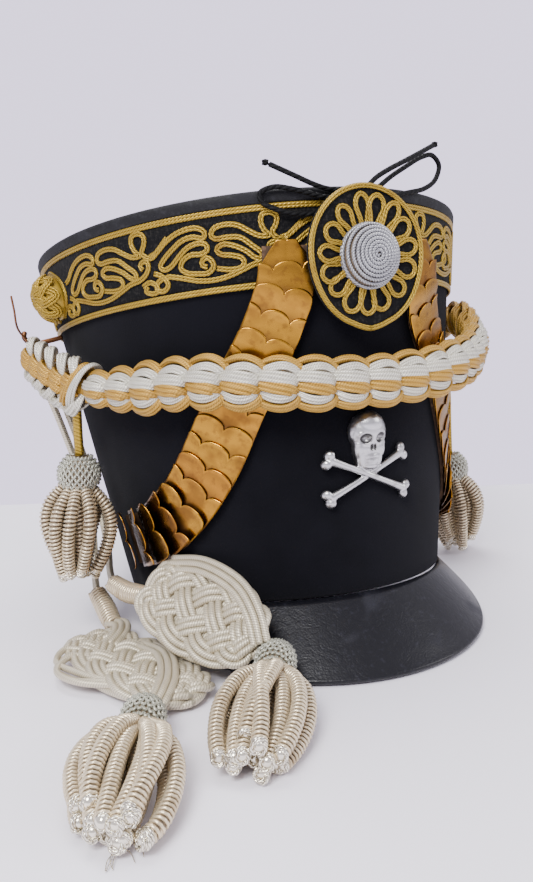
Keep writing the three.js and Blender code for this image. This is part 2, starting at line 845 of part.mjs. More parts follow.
add(table, "flounder_cord_leaning", cordAlong(through(leaningStemCord), flounderCord, 16), silverCord);
add(table, "flounder_cord_flat", cordAlong(through(flatStemCord), flounderCord, 16), silverCord);
add(table, "flounder_stem_leaning", cordAlong(through(leaningStem), 2 * stemRadius, 3), silverCord);
add(table, "flounder_stem_flat", cordAlong(through(flatStem), 2 * stemRadius, 3), silverCord);
laid(
  add(table, "flounder_leaning", flounder(leaningFlounderLength, flounderWidth), silverCord),
  leaningFlounderCentre, leaningFlounderAlong, leaningFlounderAcross,
);
laid(
  add(table, "flounder_flat", flounder(flounderLength, flounderWidth), silverCord),
  flatFlounderCentre, flatFlounderAlong, flatFlounderAcross,
);
add(table, "tassel_link_flat", cordAlong(through(flatTasselLink), tasselCord, 3), silverCord);
aimed(
  add(table, "tassel_leaning", tassel(lyingHeadRadius, lyingTasselLength, lyingFlatness), silverCord),
  leaningTasselTop, leaningTasselFoot,
);
aimed(
  add(table, "tassel_flat", tassel(lyingHeadRadius, lyingTasselLength, lyingFlatness), silverCord),
  flatTasselTop, flatTasselFoot,
);

// The black cord tied behind the cockade's top, with two loops and two ends. Its points are
// [across, up, lift] from the cockade's middle, with the lift over the curved front.
const tieKnot = [-0.8, 27.2, 0];
const tieRoutes = {
  tie_loop_right: [
    [-7.9, 26.5, 0], [-16.7, 26.2, 0], [-22.3, 27.7, 0], [-30, 29.8, 0.2], [-37.9, 31, 0.4],
    [-43.6, 28.6, 0.5], [-42.6, 24.8, 0.3], [-36.5, 21.4, 0.2], [-29, 19.4, 0], [-20.5, 19.4, 0],
    [-12.6, 21.8, 0], [-7.6, 23.7, 0],
  ],
  tie_end_right: [
    [-7.7, 29.3, 0], [-14.1, 29.4, 0.2], [-21.2, 31.3, 1], [-30, 35.3, 1.6], [-39.7, 40.2, 2],
  ],
  tie_loop_left: [
    [6.3, 28.3, 0], [11.4, 31.2, 0], [18.4, 35.6, -0.6], [29.2, 41.2, -1], [40.9, 46.6, -0.8],
    [48.7, 48.2, 0.6], [53.2, 44.2, 2], [49.4, 37, 2], [40.3, 31.9, 1.4], [28.6, 29.2, 0.6],
    [18.5, 27.2, 0.1], [12, 25.4, 0], [6.4, 25.1, 0],
  ],
  tie_end_left: [
    [5, 31.2, 0.2], [9.4, 34.8, 0.8], [15.7, 38.2, 1.6], [25.2, 42.4, 2.2], [36.7, 47.4, 2.4],
    [47.3, 52, 2.6],
  ],
};
const tieSteps = { tie_loop_right: 20, tie_end_right: 7, tie_loop_left: 20, tie_end_left: 9 };
const frontRadius = (mix(rimHalfWidth, crownHalfWidth, cockadeHeight / hatHeight)) ** 2
  / mix(rimHalfLength, crownHalfLength, cockadeHeight / hatHeight);

function tiePoint([across, up, lift]) {
  const out = pipingDepth + 2 * fitGap + tieCord / 2;
  return new THREE.Vector3(across, up, out + lift - across ** 2 / (2 * frontRadius));
}

function ball(radius, point, scale = [1, 1, 1]) {
  const at = tiePoint(point).toArray();
  return placed(new THREE.SphereGeometry(radius, 8, 6), { at, scale });
}

add(cockade, "tie_knot", ball(5, tieKnot, [1.2, 0.75, tieCord / 10]), blackCord);
for (const [name, route] of Object.entries(tieRoutes)) {
  add(cockade, name, cordAlong(route.map(tiePoint), tieCord, tieSteps[name]), blackCord);
}
for (const side of ["right", "left"]) {
  const [before, last] = tieRoutes[`tie_end_${side}`].slice(-2);
  const run = new THREE.Vector3(...last).sub(new THREE.Vector3(...before)).normalize();
  const tip = last.map((value, i) => value + run.getComponent(i) * (tieTip + fitGap + 0.1));
  add(cockade, `tie_tip_${side}`, ball(tieTip, tip), blackCord);
}

cap.rotation.x = -restTilt;
cap.position.z = restRise;

const hat = new THREE.Group();
hat.add(cap, table);
const backMost = onHat(Math.PI, hatHeight - 1, fitGap + crownEdgeWall).applyEuler(cap.rotation).y;
const frontMost = onVisor(0, visorDepthAt(0)).applyEuler(cap.rotation).y;
hat.position.y = -(backMost + frontMost) / 2;

export default hat;
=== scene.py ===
"""A hussar officer's shako: felt cap, leather crown and visor, brass chin scales, corded
cockade, plaited festoon and the tasselled lines that lie beside it. Metres, +Z up."""
import json
import math
import random
from functools import cache

import bpy
import numpy as np
from bpy.props import FloatProperty, FloatVectorProperty, IntProperty, PointerProperty
from mathutils import Matrix, Vector, noise


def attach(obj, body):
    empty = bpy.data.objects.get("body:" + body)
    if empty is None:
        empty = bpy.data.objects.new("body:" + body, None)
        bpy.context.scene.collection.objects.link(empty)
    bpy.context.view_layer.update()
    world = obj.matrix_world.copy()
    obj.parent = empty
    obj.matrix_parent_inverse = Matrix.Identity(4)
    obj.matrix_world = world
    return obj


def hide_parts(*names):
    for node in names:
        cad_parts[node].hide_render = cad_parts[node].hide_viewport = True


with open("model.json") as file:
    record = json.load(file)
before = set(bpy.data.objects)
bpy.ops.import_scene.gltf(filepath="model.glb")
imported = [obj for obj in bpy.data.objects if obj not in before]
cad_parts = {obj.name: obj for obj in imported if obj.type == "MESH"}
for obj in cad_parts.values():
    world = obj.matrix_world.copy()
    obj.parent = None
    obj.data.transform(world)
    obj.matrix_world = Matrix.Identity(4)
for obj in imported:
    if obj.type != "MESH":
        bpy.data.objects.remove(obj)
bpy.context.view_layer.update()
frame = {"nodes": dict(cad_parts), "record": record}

bl_info = {
    "name": "Shako hat", "version": (1, 0, 0), "blender": (4, 5, 0),
    "location": "3D View > Sidebar > Shako",
    "description": "Makes the finished pieces of a corded felt shako round its solids",
    "category": "Object",
}

MM = 0.001
SIDES = {"right": 1.0, "left": -1.0}

# The cap's ovals, as its solids have them
CAP_HEIGHT = 183.5 * MM
RIM_HALF_LENGTH = 101 * MM
RIM_HALF_WIDTH = 84 * MM
CROWN_HALF_LENGTH = 129 * MM
CROWN_HALF_WIDTH = 114 * MM
CROWN_SETBACK = 9 * MM
FIT_GAP = 0.3 * MM

# The cap's place: its rim's middle and how far it leans back, from the mount in the rim
OPENING = next(m for m in frame["record"]["mounts"] if m["name"] == "head_opening")
RIM_MIDDLE = np.array(OPENING["pos_m"], float)
LEAN_BACK = math.atan2(-OPENING["axis"][1], -OPENING["axis"][2])


def size(name, description, default):
    return FloatProperty(name=name, description=description, default=default, unit="LENGTH")


def tint(name, description, default):
    return FloatVectorProperty(name=name, description=description, default=default, subtype="COLOR")


class ShakoCapSizes(bpy.types.PropertyGroup):
    """Sizes of the cap, its band, cockade and visor."""

    felt_wall: size("Felt wall", "Thickness of the felt", 3 * MM)
    crown_edge: size("Crown edge", "Depth of the crown's turned-down edge", 5.8 * MM)
    band_bottom: size("Band bottom", "Height of the lower piping", 143.6 * MM)
    band_top: size("Band top", "Height of the upper piping", 176.2 * MM)
    braid_width: size("Braid width", "Width of the two-ribbed gold braid", 2.5 * MM)
    visor_droop: FloatProperty(
        name="Visor droop", description="How steeply the visor falls", default=math.radians(49),
        subtype="ANGLE"
    )
    visor_thickness: size("Visor thickness", "Thickness of the visor's leather", 3 * MM)
    cockade_height: size("Cockade height", "Height of the cockade's middle", 152.3 * MM)
    boss_radius: size("Boss radius", "Radius of the wound silver boss", 13.7 * MM)
    boss_turns: FloatProperty(
        name="Boss turns", description="Turns of cord in the boss", default=8.0, min=2, max=14
    )
    scale_count: IntProperty(
        name="Scales", description="Brass scales on each chin strap", default=17, min=6, max=40
    )


class ShakoCordSizes(bpy.types.PropertyGroup):
    """Sizes of the cords, the festoon, the flounders and the tassels."""

    tie_cord: size("Tie cord", "Diameter of the black cord", 2.3 * MM)
    tassel_cord: size("Tassel cord", "Diameter of a hanging tassel's cord", 5 * MM)
    line_cord: size("Line cord", "Diameter of the cords to the flounders", 4 * MM)
    festoon_rise: size("Festoon height", "Height of the plaited festoon", 25 * MM)
    festoon_pitch: size("Festoon link", "Length of one link of the plait", 16 * MM)
    bullion_radius: size("Bullion radius", "Outer radius of one coiled bullion", 3.3 * MM)
    bullion_turn: size("Bullion turn", "Length of one turn of a bullion's wire", 1.9 * MM)
    bullion_wire: size("Bullion wire", "Radius of a bullion's wire", 0.62 * MM)
    tassel_length: size("Tassel length", "Length of a tassel with its head", 61 * MM)


class ShakoColours(bpy.types.PropertyGroup):
    """Colours of the finishes."""

    felt: tint("Felt", "Colour of the felt", (0.0022, 0.0022, 0.0034))
    leather: tint("Leather", "Colour of the visor's leather", (0.0045, 0.0045, 0.0065))
    gold: tint("Gold cord", "Colour of the gilt thread", (0.43, 0.28, 0.032))
    pale_gold: tint("Festoon gold", "Colour of the festoon's gilt cord", (0.52, 0.30, 0.05))
    silver: tint("Silver cord", "Colour of the silvered thread", (0.68, 0.61, 0.46))
    brass: tint("Brass", "Colour of the chin scales", (0.47, 0.235, 0.025))
    floor: tint("Floor", "Colour of the floor", (0.90, 0.87, 0.95))


# Lines, frames and skins


def unit(vectors):
    return vectors / np.maximum(np.linalg.norm(vectors, axis=-1, keepdims=True), 1e-12)


def runs_along(path):
    """How far along a line each of its points is."""
    return np.concatenate([[0], np.cumsum(np.linalg.norm(np.diff(path, axis=0), axis=1))])


def read_off(run, runs, table):
    """The rows of a table at places between its own."""
    return np.stack([np.interp(run, runs, column) for column in table.T], -1)


def round_turn(steps):
    """One whole turn in even steps."""
    return 2 * np.pi * np.arange(steps) / steps


def oval(turn, wide, high, lift=0.0):
    """Points round an oval, so far above its plane."""
    return np.stack(np.broadcast_arrays(wide * np.cos(turn), high * np.sin(turn), lift), -1)


def even(line, step, closed=False):
    """The same line with points an even distance apart."""
    line = np.asarray(line, float)
    whole = np.vstack([line, line[:1]]) if closed else line
    runs = runs_along(whole)
    places = np.linspace(0, runs[-1], max(int(round(runs[-1] / step)), 3) + 1)
    return read_off(places[:-1] if closed else places, runs, whole)


def smooth(points, step, closed=False):
    """An even line that bends smoothly through the points."""
    points = np.asarray(points, float)
    if closed:
        around = np.vstack([points[-1:], points, points[:2]])
    else:
        around = np.vstack([2 * points[0] - points[1], points, 2 * points[-1] - points[-2]])
    parts = []
    for p0, p1, p2, p3 in zip(around, around[1:], around[2:], around[3:]):
        gaps = [max(np.linalg.norm(b - a), 1e-9) ** 0.5 for a, b in ((p0, p1), (p1, p2), (p2, p3))]
        t = np.cumsum([0] + gaps)
        s = np.linspace(t[1], t[2], 17)[:-1, None]
        row = [p0, p1, p2, p3]
        for low, high in (([0, 1, 2], [1, 2, 3]), ([0, 1], [2, 3]), ([1], [2])):
            row = [
                ((t[j] - s) * p + (s - t[i]) * q) / (t[j] - t[i])
                for i, j, p, q in zip(low, high, row, row[1:])
            ]
        parts.append(row[0])
    if not closed:
        parts.append(points[-1:])
    return even(np.vstack(parts), step, closed)


def tangents(path, closed=False):
    if closed:
        return unit(np.roll(path, -1, axis=0) - np.roll(path, 1, axis=0))
    return unit(np.gradient(path, axis=0))


def carried(path, closed=False):
    """Normals carried along a line with the least twist."""
    along = tangents(path, closed)
    start = np.array([0, 0, 1.0]) if abs(along[0][2]) < 0.9 else np.array([1.0, 0, 0])
    normals = [unit(start - along[0] * (start @ along[0]))]
    for ahead in along[1:]:
        kept = normals[-1] - ahead * (normals[-1] @ ahead)
        normals.append(unit(kept))
    normals = np.array(normals)
    if closed:
        last = unit(normals[-1] - along[0] * (normals[-1] @ along[0]))
        across = np.cross(along[0], normals[0])
        twist = math.atan2(last @ across, last @ normals[0])
        turn = -twist * np.arange(len(path))[:, None] / len(path)
        normals = normals * np.cos(turn) + np.cross(along, normals) * np.sin(turn)
    return normals


class Skin:
    """Points and faces of one piece, with how far and which way its threads wind."""

    def __init__(self):
        self.points, self.faces, self.wind, self.slots = [], [], [], []
        self.count = 0

    def add(self, points, faces, wind=None, slot=0):
        """More points, and the three-cornered faces that count from the first of them."""
        points = np.reshape(points, (-1, 3))
        faces = np.reshape(faces, (-1, 3))
        self.points.append(points)
        self.faces.append(faces + self.count)
        self.wind.append(np.zeros_like(points) if wind is None else np.reshape(wind, (-1, 3)))
        self.slots.append(np.broadcast_to(slot, len(faces)))
        self.count += len(points)

    def grid(self, points, closed_rows=False, closed_across=False, flip=False, **kinds):
        """A sheet of rows and columns of points, which may close on itself either way."""
        rows, across = points.shape[:2]
        last_row, last = (rows if closed_rows else rows - 1), (across if closed_across else across - 1)
        i, j = np.meshgrid(np.arange(last_row), np.arange(last), indexing="ij")
        ahead, beside = (i + 1) % rows * across, (j + 1) % across
        corners = [i * across + j, i * across + beside, ahead + beside, ahead + j]
        a, b, c, d = corners[::-1] if flip else corners
        self.add(points, np.stack([a, b, c, a, c, d], -1), **kinds)

    def close(self, ring, tip, outward, slot=0, wind=(0, 0, 0)):
        """A fan of faces over a ring of points that are there already."""
        ring = np.asarray(ring) - self.count
        pair = (ring, np.roll(ring, -1)) if outward else (np.roll(ring, -1), ring)
        self.add(tip, np.stack([*pair, 0 * ring], -1), wind, slot)

    def solid(self, rows, flip=False, slot=0):
        """A closed form through rings of points, with its first and last ring closed flat."""
        rows = np.asarray(rows)
        base, across = self.count, rows.shape[1]
        self.grid(rows, closed_across=True, flip=flip, slot=slot)
        last = base + (len(rows) - 1) * across
        self.close(base + np.arange(across), rows[0].mean(0), flip, slot)
        self.close(last + np.arange(across), rows[-1].mean(0), not flip, slot)

    def tube(self, path, radius, sides=8, closed=False, normals=None, flat=1.0, lobes=0, slot=0):
        """A cord along a line. Its section may be flattened or ribbed lengthways."""
        path = np.asarray(path, float)
        along = tangents(path, closed)
        if normals is None:
            normals = carried(path, closed)
        normals = unit(normals - along * np.sum(normals * along, -1, keepdims=True))
        across = np.cross(along, normals)
        turn = round_turn(sides)
        swell = 0.9 + 0.1 * np.cos(lobes * turn) if lobes else np.ones(sides)
        radius = np.broadcast_to(radius, len(path))[:, None, None]
        ring = normals[:, None] * (np.cos(turn) * swell * flat)[None, :, None]
        ring = ring + across[:, None] * (np.sin(turn) * swell)[None, :, None]
        runs = runs_along(path)
        wind = np.stack(np.broadcast_arrays(runs[:, None], np.cos(turn), np.sin(turn)), -1)
        base = self.count
        points = path[:, None] + radius * ring
        self.grid(points, closed_rows=closed, closed_across=True, wind=wind, slot=slot)
        if closed:
            return
        for row, sign in ((0, -1), (len(path) - 1, 1)):
            tip = path[row] + sign * along[row] * radius[row, 0, 0] * 0.45
            self.close(base + row * sides + np.arange(sides), tip, sign > 0, slot, (runs[row], 0, 0))

    def braid(self, path, normals, width, ribs=2, sides=6, flat=1.0, closed=False, slot=0):
        """Cords side by side along a line, which lie on the surface that has the normals."""
        normals = np.broadcast_to(normals, path.shape)
        across = unit(np.cross(tangents(path, closed), normals))
        gap = np.broadcast_to(np.asarray(width, float) / ribs, len(path))[:, None]
        for rib in range(ribs):
            place = rib - (ribs - 1) / 2
            lift = 0.2 * (1 - abs(2 * place / (ribs - 1))) if ribs > 2 else 0
            line = path + across * place * gap + normals * lift * gap
            self.tube(line, gap[:, 0] * 0.52, sides, closed, normals, flat, slot=slot)

    def slab(self, top, bottom, wind):
        """A closed plate between two sheets of points."""
        rows, across = top.shape[:2]
        edge = self.count + np.arange(rows * across).reshape(rows, across)
        edge = np.concatenate([edge[0], edge[1:, -1], edge[-1, -2::-1], edge[-2:0:-1, 0]])
        self.grid(top, wind=wind)
        self.grid(bottom, flip=True, wind=wind)
        ahead = np.roll(edge, -1)
        low, low_ahead = edge + rows * across, ahead + rows * across
        walls = np.stack([edge, low, low_ahead, edge, low_ahead, ahead], -1)
        self.add(np.zeros((0, 3)), walls - self.count)

    def ball(self, centre, radii, rings=8, sides=12, slot=0):
        """A round or oval knob."""
        polar = np.pi * np.arange(1, rings)[:, None] / rings
        shell = oval(round_turn(sides), np.sin(polar), np.sin(polar), np.cos(polar))
        base = self.count
        self.grid(np.asarray(centre) + shell * radii, closed_across=True, flip=True, slot=slot)
        for row, pole in ((0, 1), (rings - 2, -1)):
            ring = base + row * sides + np.arange(sides)
            self.close(ring, np.asarray(centre) + np.array([0, 0, pole]) * radii, pole > 0, slot)

    def made(self, name, *materials):
        """The gathered points and faces as one finished object."""
        points, faces = np.concatenate(self.points), np.concatenate(self.faces)
        mesh = bpy.data.meshes.new(name)
        mesh.vertices.add(len(points))
        mesh.vertices.foreach_set("co", points.ravel())
        mesh.loops.add(faces.size)
        mesh.loops.foreach_set("vertex_index", faces.ravel().astype(np.int32))
        mesh.polygons.add(len(faces))
        mesh.polygons.foreach_set("loop_start", 3 * np.arange(len(faces), dtype=np.int32))
        mesh.polygons.foreach_set("material_index", np.concatenate(self.slots).astype(np.int32))
        mesh.polygons.foreach_set("use_smooth", np.ones(len(faces), bool))
        for material in materials:
            mesh.materials.append(material)
        wind = mesh.attributes.new("wind", "FLOAT_VECTOR", "POINT")
        wind.data.foreach_set("vector", np.concatenate(self.wind).ravel())
        mesh.update(calc_edges=True)
        mesh.validate()
        return in_scene(name, mesh)


def in_scene(name, data):
    """A new object in the scene."""
    made = bpy.data.objects.new(name, data)
    bpy.context.scene.collection.objects.link(made)
    return made


def pulled(items, name, width, kind=float):
    """One value of all of a mesh's items, as rows."""
    values = np.empty(len(items) * width, kind)
    items.foreach_get(name, values)
    return values.reshape(-1, width)


def settle(piece, slot, *nodes):
    """The piece goes with the cap, in place of its solids, which are hidden. The slot is not used."""
    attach(piece, "root")
    if nodes:
        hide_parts(*nodes)
    return piece


def plain(carrier):
    """The result of an object's modifiers as its own mesh, with no modifier left."""
    graph = bpy.context.evaluated_depsgraph_get()
    mesh = bpy.data.meshes.new_from_object(carrier.evaluated_get(graph))
    carrier.modifiers.clear()
    carrier.data = mesh
    return carrier


# Places on the cap, the cockade and the table


def to_row(points):
    """Points of the upright cap, set where the cap rests."""
    x, y, z = np.moveaxis(np.asarray(points, float), -1, 0)
    lean_cos, lean_sin = math.cos(LEAN_BACK), math.sin(LEAN_BACK)
    turned = [x, y * lean_cos + z * lean_sin, z * lean_cos - y * lean_sin]
    return np.stack(turned, -1) + RIM_MIDDLE


def cap_half_sizes(share):
    """Half the felt's length and half its width, at a share of the cap's height."""
    length = RIM_HALF_LENGTH + (CROWN_HALF_LENGTH - RIM_HALF_LENGTH) * share
    return length, RIM_HALF_WIDTH + (CROWN_HALF_WIDTH - RIM_HALF_WIDTH) * share


def on_cap(angle, height, out=0.0, share_in=1.0):
    """Points on the felt, or `out` beyond it. The angle runs from the front to the wearer's right."""
    angle, height, out = np.broadcast_arrays(angle, height, out)
    share = height / CAP_HEIGHT
    length, width = cap_half_sizes(share)
    x = -(width + out) * np.sin(angle) * share_in
    y = CROWN_SETBACK * share - (length + out) * np.cos(angle) * share_in
    return np.stack([x, y, height + 0 * x], -1)


def row_on_cap(angle, height, out=0.0):
    return to_row(on_cap(angle, height, out))


def cap_normals(angle, height):
    """Outward directions of the felt, as the cap rests."""
    small = 1e-3
    around = row_on_cap(angle + small, height) - row_on_cap(angle - small, height)
    up = row_on_cap(angle, height + small * 0.1) - row_on_cap(angle, height - small * 0.1)
    return unit(np.cross(up, around))


def outward_at(angle):
    """Nearly level directions out from the upright cap."""
    return unit(np.stack([-np.sin(angle), -np.cos(angle), 0.1 + 0 * angle], -1))


def nearest_on_cap(points):
    """The angle and height of points beside the upright cap."""
    share = points[..., 2] / CAP_HEIGHT
    length, width = cap_half_sizes(share)
    angle = np.arctan2(-points[..., 0] / width, (CROWN_SETBACK * share - points[..., 1]) / length)
    return angle, points[..., 2]


def on_table(points):
    """Given places in millimetres, measured from under the rim's middle, in the row."""
    return np.asarray(points, float) * MM + np.array([0, RIM_MIDDLE[1], 0])


FRONT_LEAN = math.atan2(CROWN_HALF_LENGTH - RIM_HALF_LENGTH - CROWN_SETBACK, CAP_HEIGHT)


def on_cockade(across, up, lift, height):
    """Points before the front of the cap, in the plane that touches the felt behind the cockade."""
    across, up, lift = np.broadcast_arrays(across, up, lift)
    foot = on_cap(0.0, height)
    y = foot[1] - up * math.sin(FRONT_LEAN) - lift * math.cos(FRONT_LEAN)
    z = foot[2] + up * math.cos(FRONT_LEAN) - lift * math.sin(FRONT_LEAN)
    return to_row(np.stack([across, y, z], -1))


def cockade_normal():
    tip = on_cockade(0.0, 0.0, 1.0, 0.15)
    return unit(tip - on_cockade(0.0, 0.0, 0.0, 0.15))


def aimed(top, foot):
    """A turn and a place that carry -Z from one place to another, with Y as near up as can be."""
    z = unit(top - foot)
    up = np.array([0, 1.0, 0]) if abs(z[2]) > 0.8 else np.array([0, 0, 1.0])
    x = unit(np.cross(up, z))
    return np.stack([x, np.cross(z, x), z], -1), top


def laid(centre, along, across):
    """A turn and a place that carry X along one direction and Y as near as can be to another."""
    x = unit(np.asarray(along, float))
    y = np.asarray(across, float)
    y = unit(y - x * (x @ y))
    return np.stack([x, y, np.cross(x, y)], -1), centre


def carry(placing, points):
    turn, at = placing
    return np.asarray(points) @ turn.T + at


# Wound thread, made by geometry nodes


def new_node(tree, kind, values=(), **settings):
    """A node with its settings, whose inputs, by name or in order, are values or other sockets."""
    node = tree.nodes.new(kind)
    for name, value in settings.items():
        setattr(node, name, value)
    for name, value in values.items() if isinstance(values, dict) else enumerate(values):
        if isinstance(value, bpy.types.NodeSocket):
            tree.links.new(value, node.inputs[name])
        else:
            node.inputs[name].default_value = value
    return node


def maths(tree, operation, *values):
    return new_node(tree, "ShaderNodeMath", values, operation=operation).outputs[0]


def vector_maths(tree, operation, first, second):
    values = {0: first, "Scale" if operation == "SCALE" else 1: second}
    return new_node(tree, "ShaderNodeVectorMath", values, operation=operation).outputs[0]


STEPS_A_TURN = 9
THREAD_SIDES = 6


@cache
def wound_thread_tree():
    """Strands that wind round each line of a mesh: a coil, a twisted cord or a wound stem."""
    tree = bpy.data.node_groups.new("Wound thread", "GeometryNodeTree")
    sockets = {
        "Lines": "Geometry", "Strands": "Int", "Turn": "Float", "Lay radius": "Float",
        "Thread radius": "Float", "Finish": "Material",
    }
    for name, kind in sockets.items():
        tree.interface.new_socket(name, in_out="INPUT", socket_type=f"NodeSocket{kind}")
    tree.interface.new_socket("Thread", in_out="OUTPUT", socket_type="NodeSocketGeometry")

    def step(kind, values=(), **settings):
        return new_node(tree, f"GeometryNode{kind}", values, **settings).outputs

    given = tree.nodes.new("NodeGroupInput").outputs
    lines = step("MeshToCurve", {"Mesh": given["Lines"]})
    stride = maths(tree, "DIVIDE", given["Turn"], STEPS_A_TURN)
    fine = step("ResampleCurve", {"Curve": lines[0], "Length": stride}, mode="LENGTH")
    strands = step("DuplicateElements", {"Geometry": fine[0], "Amount": given["Strands"]}, domain="SPLINE")
    turns = maths(tree, "DIVIDE", step("SplineParameter")["Length"], given["Turn"])
    share = maths(tree, "DIVIDE", strands["Duplicate Index"], given["Strands"])
    phase = maths(tree, "MULTIPLY", maths(tree, "ADD", turns, share), 2 * math.pi)
    swell = step("InputNamedAttribute", {"Name": "swell"}, data_type="FLOAT")
    lay = maths(tree, "MULTIPLY", given["Lay radius"], swell["Attribute"])
    normal = step("InputNormal")[0]
    across = vector_maths(tree, "CROSS_PRODUCT", step("InputTangent")[0], normal)
    ways = [
        vector_maths(tree, "SCALE", way, maths(tree, "MULTIPLY", maths(tree, wave, phase), lay))
        for way, wave in ((normal, "COSINE"), (across, "SINE"))
    ]
    offset = vector_maths(tree, "ADD", *ways)
    laid_out = step("SetPosition", {"Geometry": strands[0], "Offset": offset})
    round_section = {"Resolution": THREAD_SIDES, "Radius": given["Thread radius"]}
    section = step("CurvePrimitiveCircle", round_section, mode="RADIUS")
    skin = step("CurveToMesh", {"Curve": laid_out[0], "Profile Curve": section[0], "Fill Caps": True})
    rounded = step("SetShadeSmooth", {"Geometry": skin[0]})
    real = step("RealizeInstances", {"Geometry": rounded[0]})
    finished = step("SetMaterial", {"Geometry": real[0], "Material": given["Finish"]})
    tree.links.new(finished[0], tree.nodes.new("NodeGroupOutput").inputs[0])
    return tree


def wound(name, paths, finish, strands, turn, lay, thread, swells=None):
    """Strands wound round the given lines, as one finished object."""
    mesh = bpy.data.meshes.new(name)
    edges, first = [], 0
    for path in paths:
        edges += [(first + i, first + i + 1) for i in range(len(path) - 1)]
        first += len(path)
    mesh.from_pydata(np.vstack(paths).tolist(), edges, [])
    swell = mesh.attributes.new("swell", "FLOAT", "POINT")
    swell.data.foreach_set("value", np.ones(first) if swells is None else np.concatenate(swells))
    carrier = in_scene(name, mesh)
    tree = wound_thread_tree()
    values = {
        "Strands": strands, "Turn": turn, "Lay radius": lay, "Thread radius": thread, "Finish": finish,
    }
    modifier = carrier.modifiers.new("Wound thread", "NODES")
    modifier.node_group = tree
    for item in tree.interface.items_tree:
        if item.in_out == "INPUT" and item.name in values:
            modifier[item.identifier] = values[item.name]
    return plain(carrier)


def merged(name, *pieces):
    """Several objects as one, whose mesh keeps each one's finish."""
    materials = []
    skin = Skin()
    for piece in pieces:
        mesh = piece.data
        materials += [m for m in mesh.materials if m not in materials]
        mesh.calc_loop_triangles()
        owners = pulled(mesh.loop_triangles, "polygon_index", 1, int)[:, 0]
        own = pulled(mesh.polygons, "material_index", 1, int)[owners, 0]
        slots = np.array([materials.index(m) for m in mesh.materials] or [0])[own]
        wind = mesh.attributes.get("wind")
        faces = pulled(mesh.loop_triangles, "vertices", 3, int)
        given = pulled(wind.data, "vector", 3) if wind else None
        skin.add(pulled(mesh.vertices, "co", 3), faces, given, slots)
    for piece in pieces:
        bpy.data.objects.remove(piece)
    return skin.made(name, *materials)


# Effects that several finishes share


def effect(name, inputs, outputs):
    """A new shader node group, with its inputs' defaults and its named outputs."""
    group = bpy.data.node_groups.new(name, "ShaderNodeTree")
    for label, value in inputs.items():
        socket = group.interface.new_socket(label, in_out="INPUT", socket_type="NodeSocketFloat")
        socket.default_value = value
    for label in outputs:
        group.interface.new_socket(label, in_out="OUTPUT", socket_type="NodeSocketFloat")
    return group, group.nodes.new("NodeGroupInput").outputs, group.nodes.new("NodeGroupOutput")


@cache
def thread_twist():
    """The slanting plies of a twisted thread, from how far and which way it winds, with painted shade in the
    grooves between them.
    """
    group, given, out = effect("Thread twist", {"Turn": 2.4 * MM, "Plies": 3.0}, ("Height", "Groove shade"))
    wind = new_node(group, "ShaderNodeAttribute", attribute_name="wind").outputs["Vector"]
    run, cosine, sine = new_node(group, "ShaderNodeSeparateXYZ", [wind]).outputs
    turn = maths(group, "ARCTAN2", sine, cosine)
    run = maths(group, "MULTIPLY", maths(group, "DIVIDE", run, given["Turn"]), 2 * math.pi)
    phase = maths(group, "ADD", maths(group, "MULTIPLY", turn, given["Plies"]), run)
    wave = maths(group, "MULTIPLY_ADD", maths(group, "SINE", phase), 0.5, 0.5)
    height = maths(group, "POWER", wave, 0.6)
    group.links.new(height, out.inputs["Height"])
    groove_shade = maths(group, "SUBTRACT", 1.0, maths(group, "SMOOTH_MAX", height, 0.0, 0.05))
    group.links.new(maths(group, "POWER", groove_shade, 2.0), out.inputs["Groove shade"])
    return group


@cache
def mottle():
    """Soft patches with finer spots in them, for tarnish, dust and wear."""
    group, given, out = effect("Mottle", {"Patches": 60.0, "Spots": 600.0, "Amount": 0.5}, ("Patch", "Spot"))
    place = group.nodes.new("ShaderNodeTexCoord").outputs["Object"]
    edge = maths(group, "SUBTRACT", 0.75, maths(group, "MULTIPLY", given["Amount"], 0.5))
    far = maths(group, "ADD", edge, 0.2)
    for label, scale, detail in (("Patch", "Patches", 4.0), ("Spot", "Spots", 3.0)):
        values = {"Vector": place, "Scale": given[scale], "Detail": detail}
        cloud = new_node(group, "ShaderNodeTexNoise", values).outputs[0]
        values = {"Value": cloud, "From Min": edge, "From Max": far}
        spread = new_node(group, "ShaderNodeMapRange", values, interpolation_type="SMOOTHSTEP")
        group.links.new(spread.outputs[0], out.inputs[label])
    return group


@cache
def hide_grain():
    """Leather's small cells with its creases, as relief."""
    group, given, out = effect("Hide grain", {"Cells": 900.0, "Creases": 120.0}, ("Height",))
    place = group.nodes.new("ShaderNodeTexCoord").outputs["Object"]
    cells = new_node(group, "ShaderNodeTexVoronoi", {"Vector": place, "Scale": given["Cells"]})
    values = {"Vector": place, "Scale": given["Creases"], "Detail": 6.0, "Distortion": 1.2}
    bent = new_node(group, "ShaderNodeTexNoise", values).outputs[0]
    ridge = maths(group, "ABSOLUTE", maths(group, "SUBTRACT", bent, 0.5))
    flat = maths(group, "MINIMUM", maths(group, "MULTIPLY", ridge, 14.0), 1.0)
    crease = maths(group, "SUBTRACT", 1.0, flat)
    height = maths(group, "SUBTRACT", cells.outputs["Distance"], maths(group, "MULTIPLY", crease, 0.7))
    group.links.new(height, out.inputs["Height"])
    return group


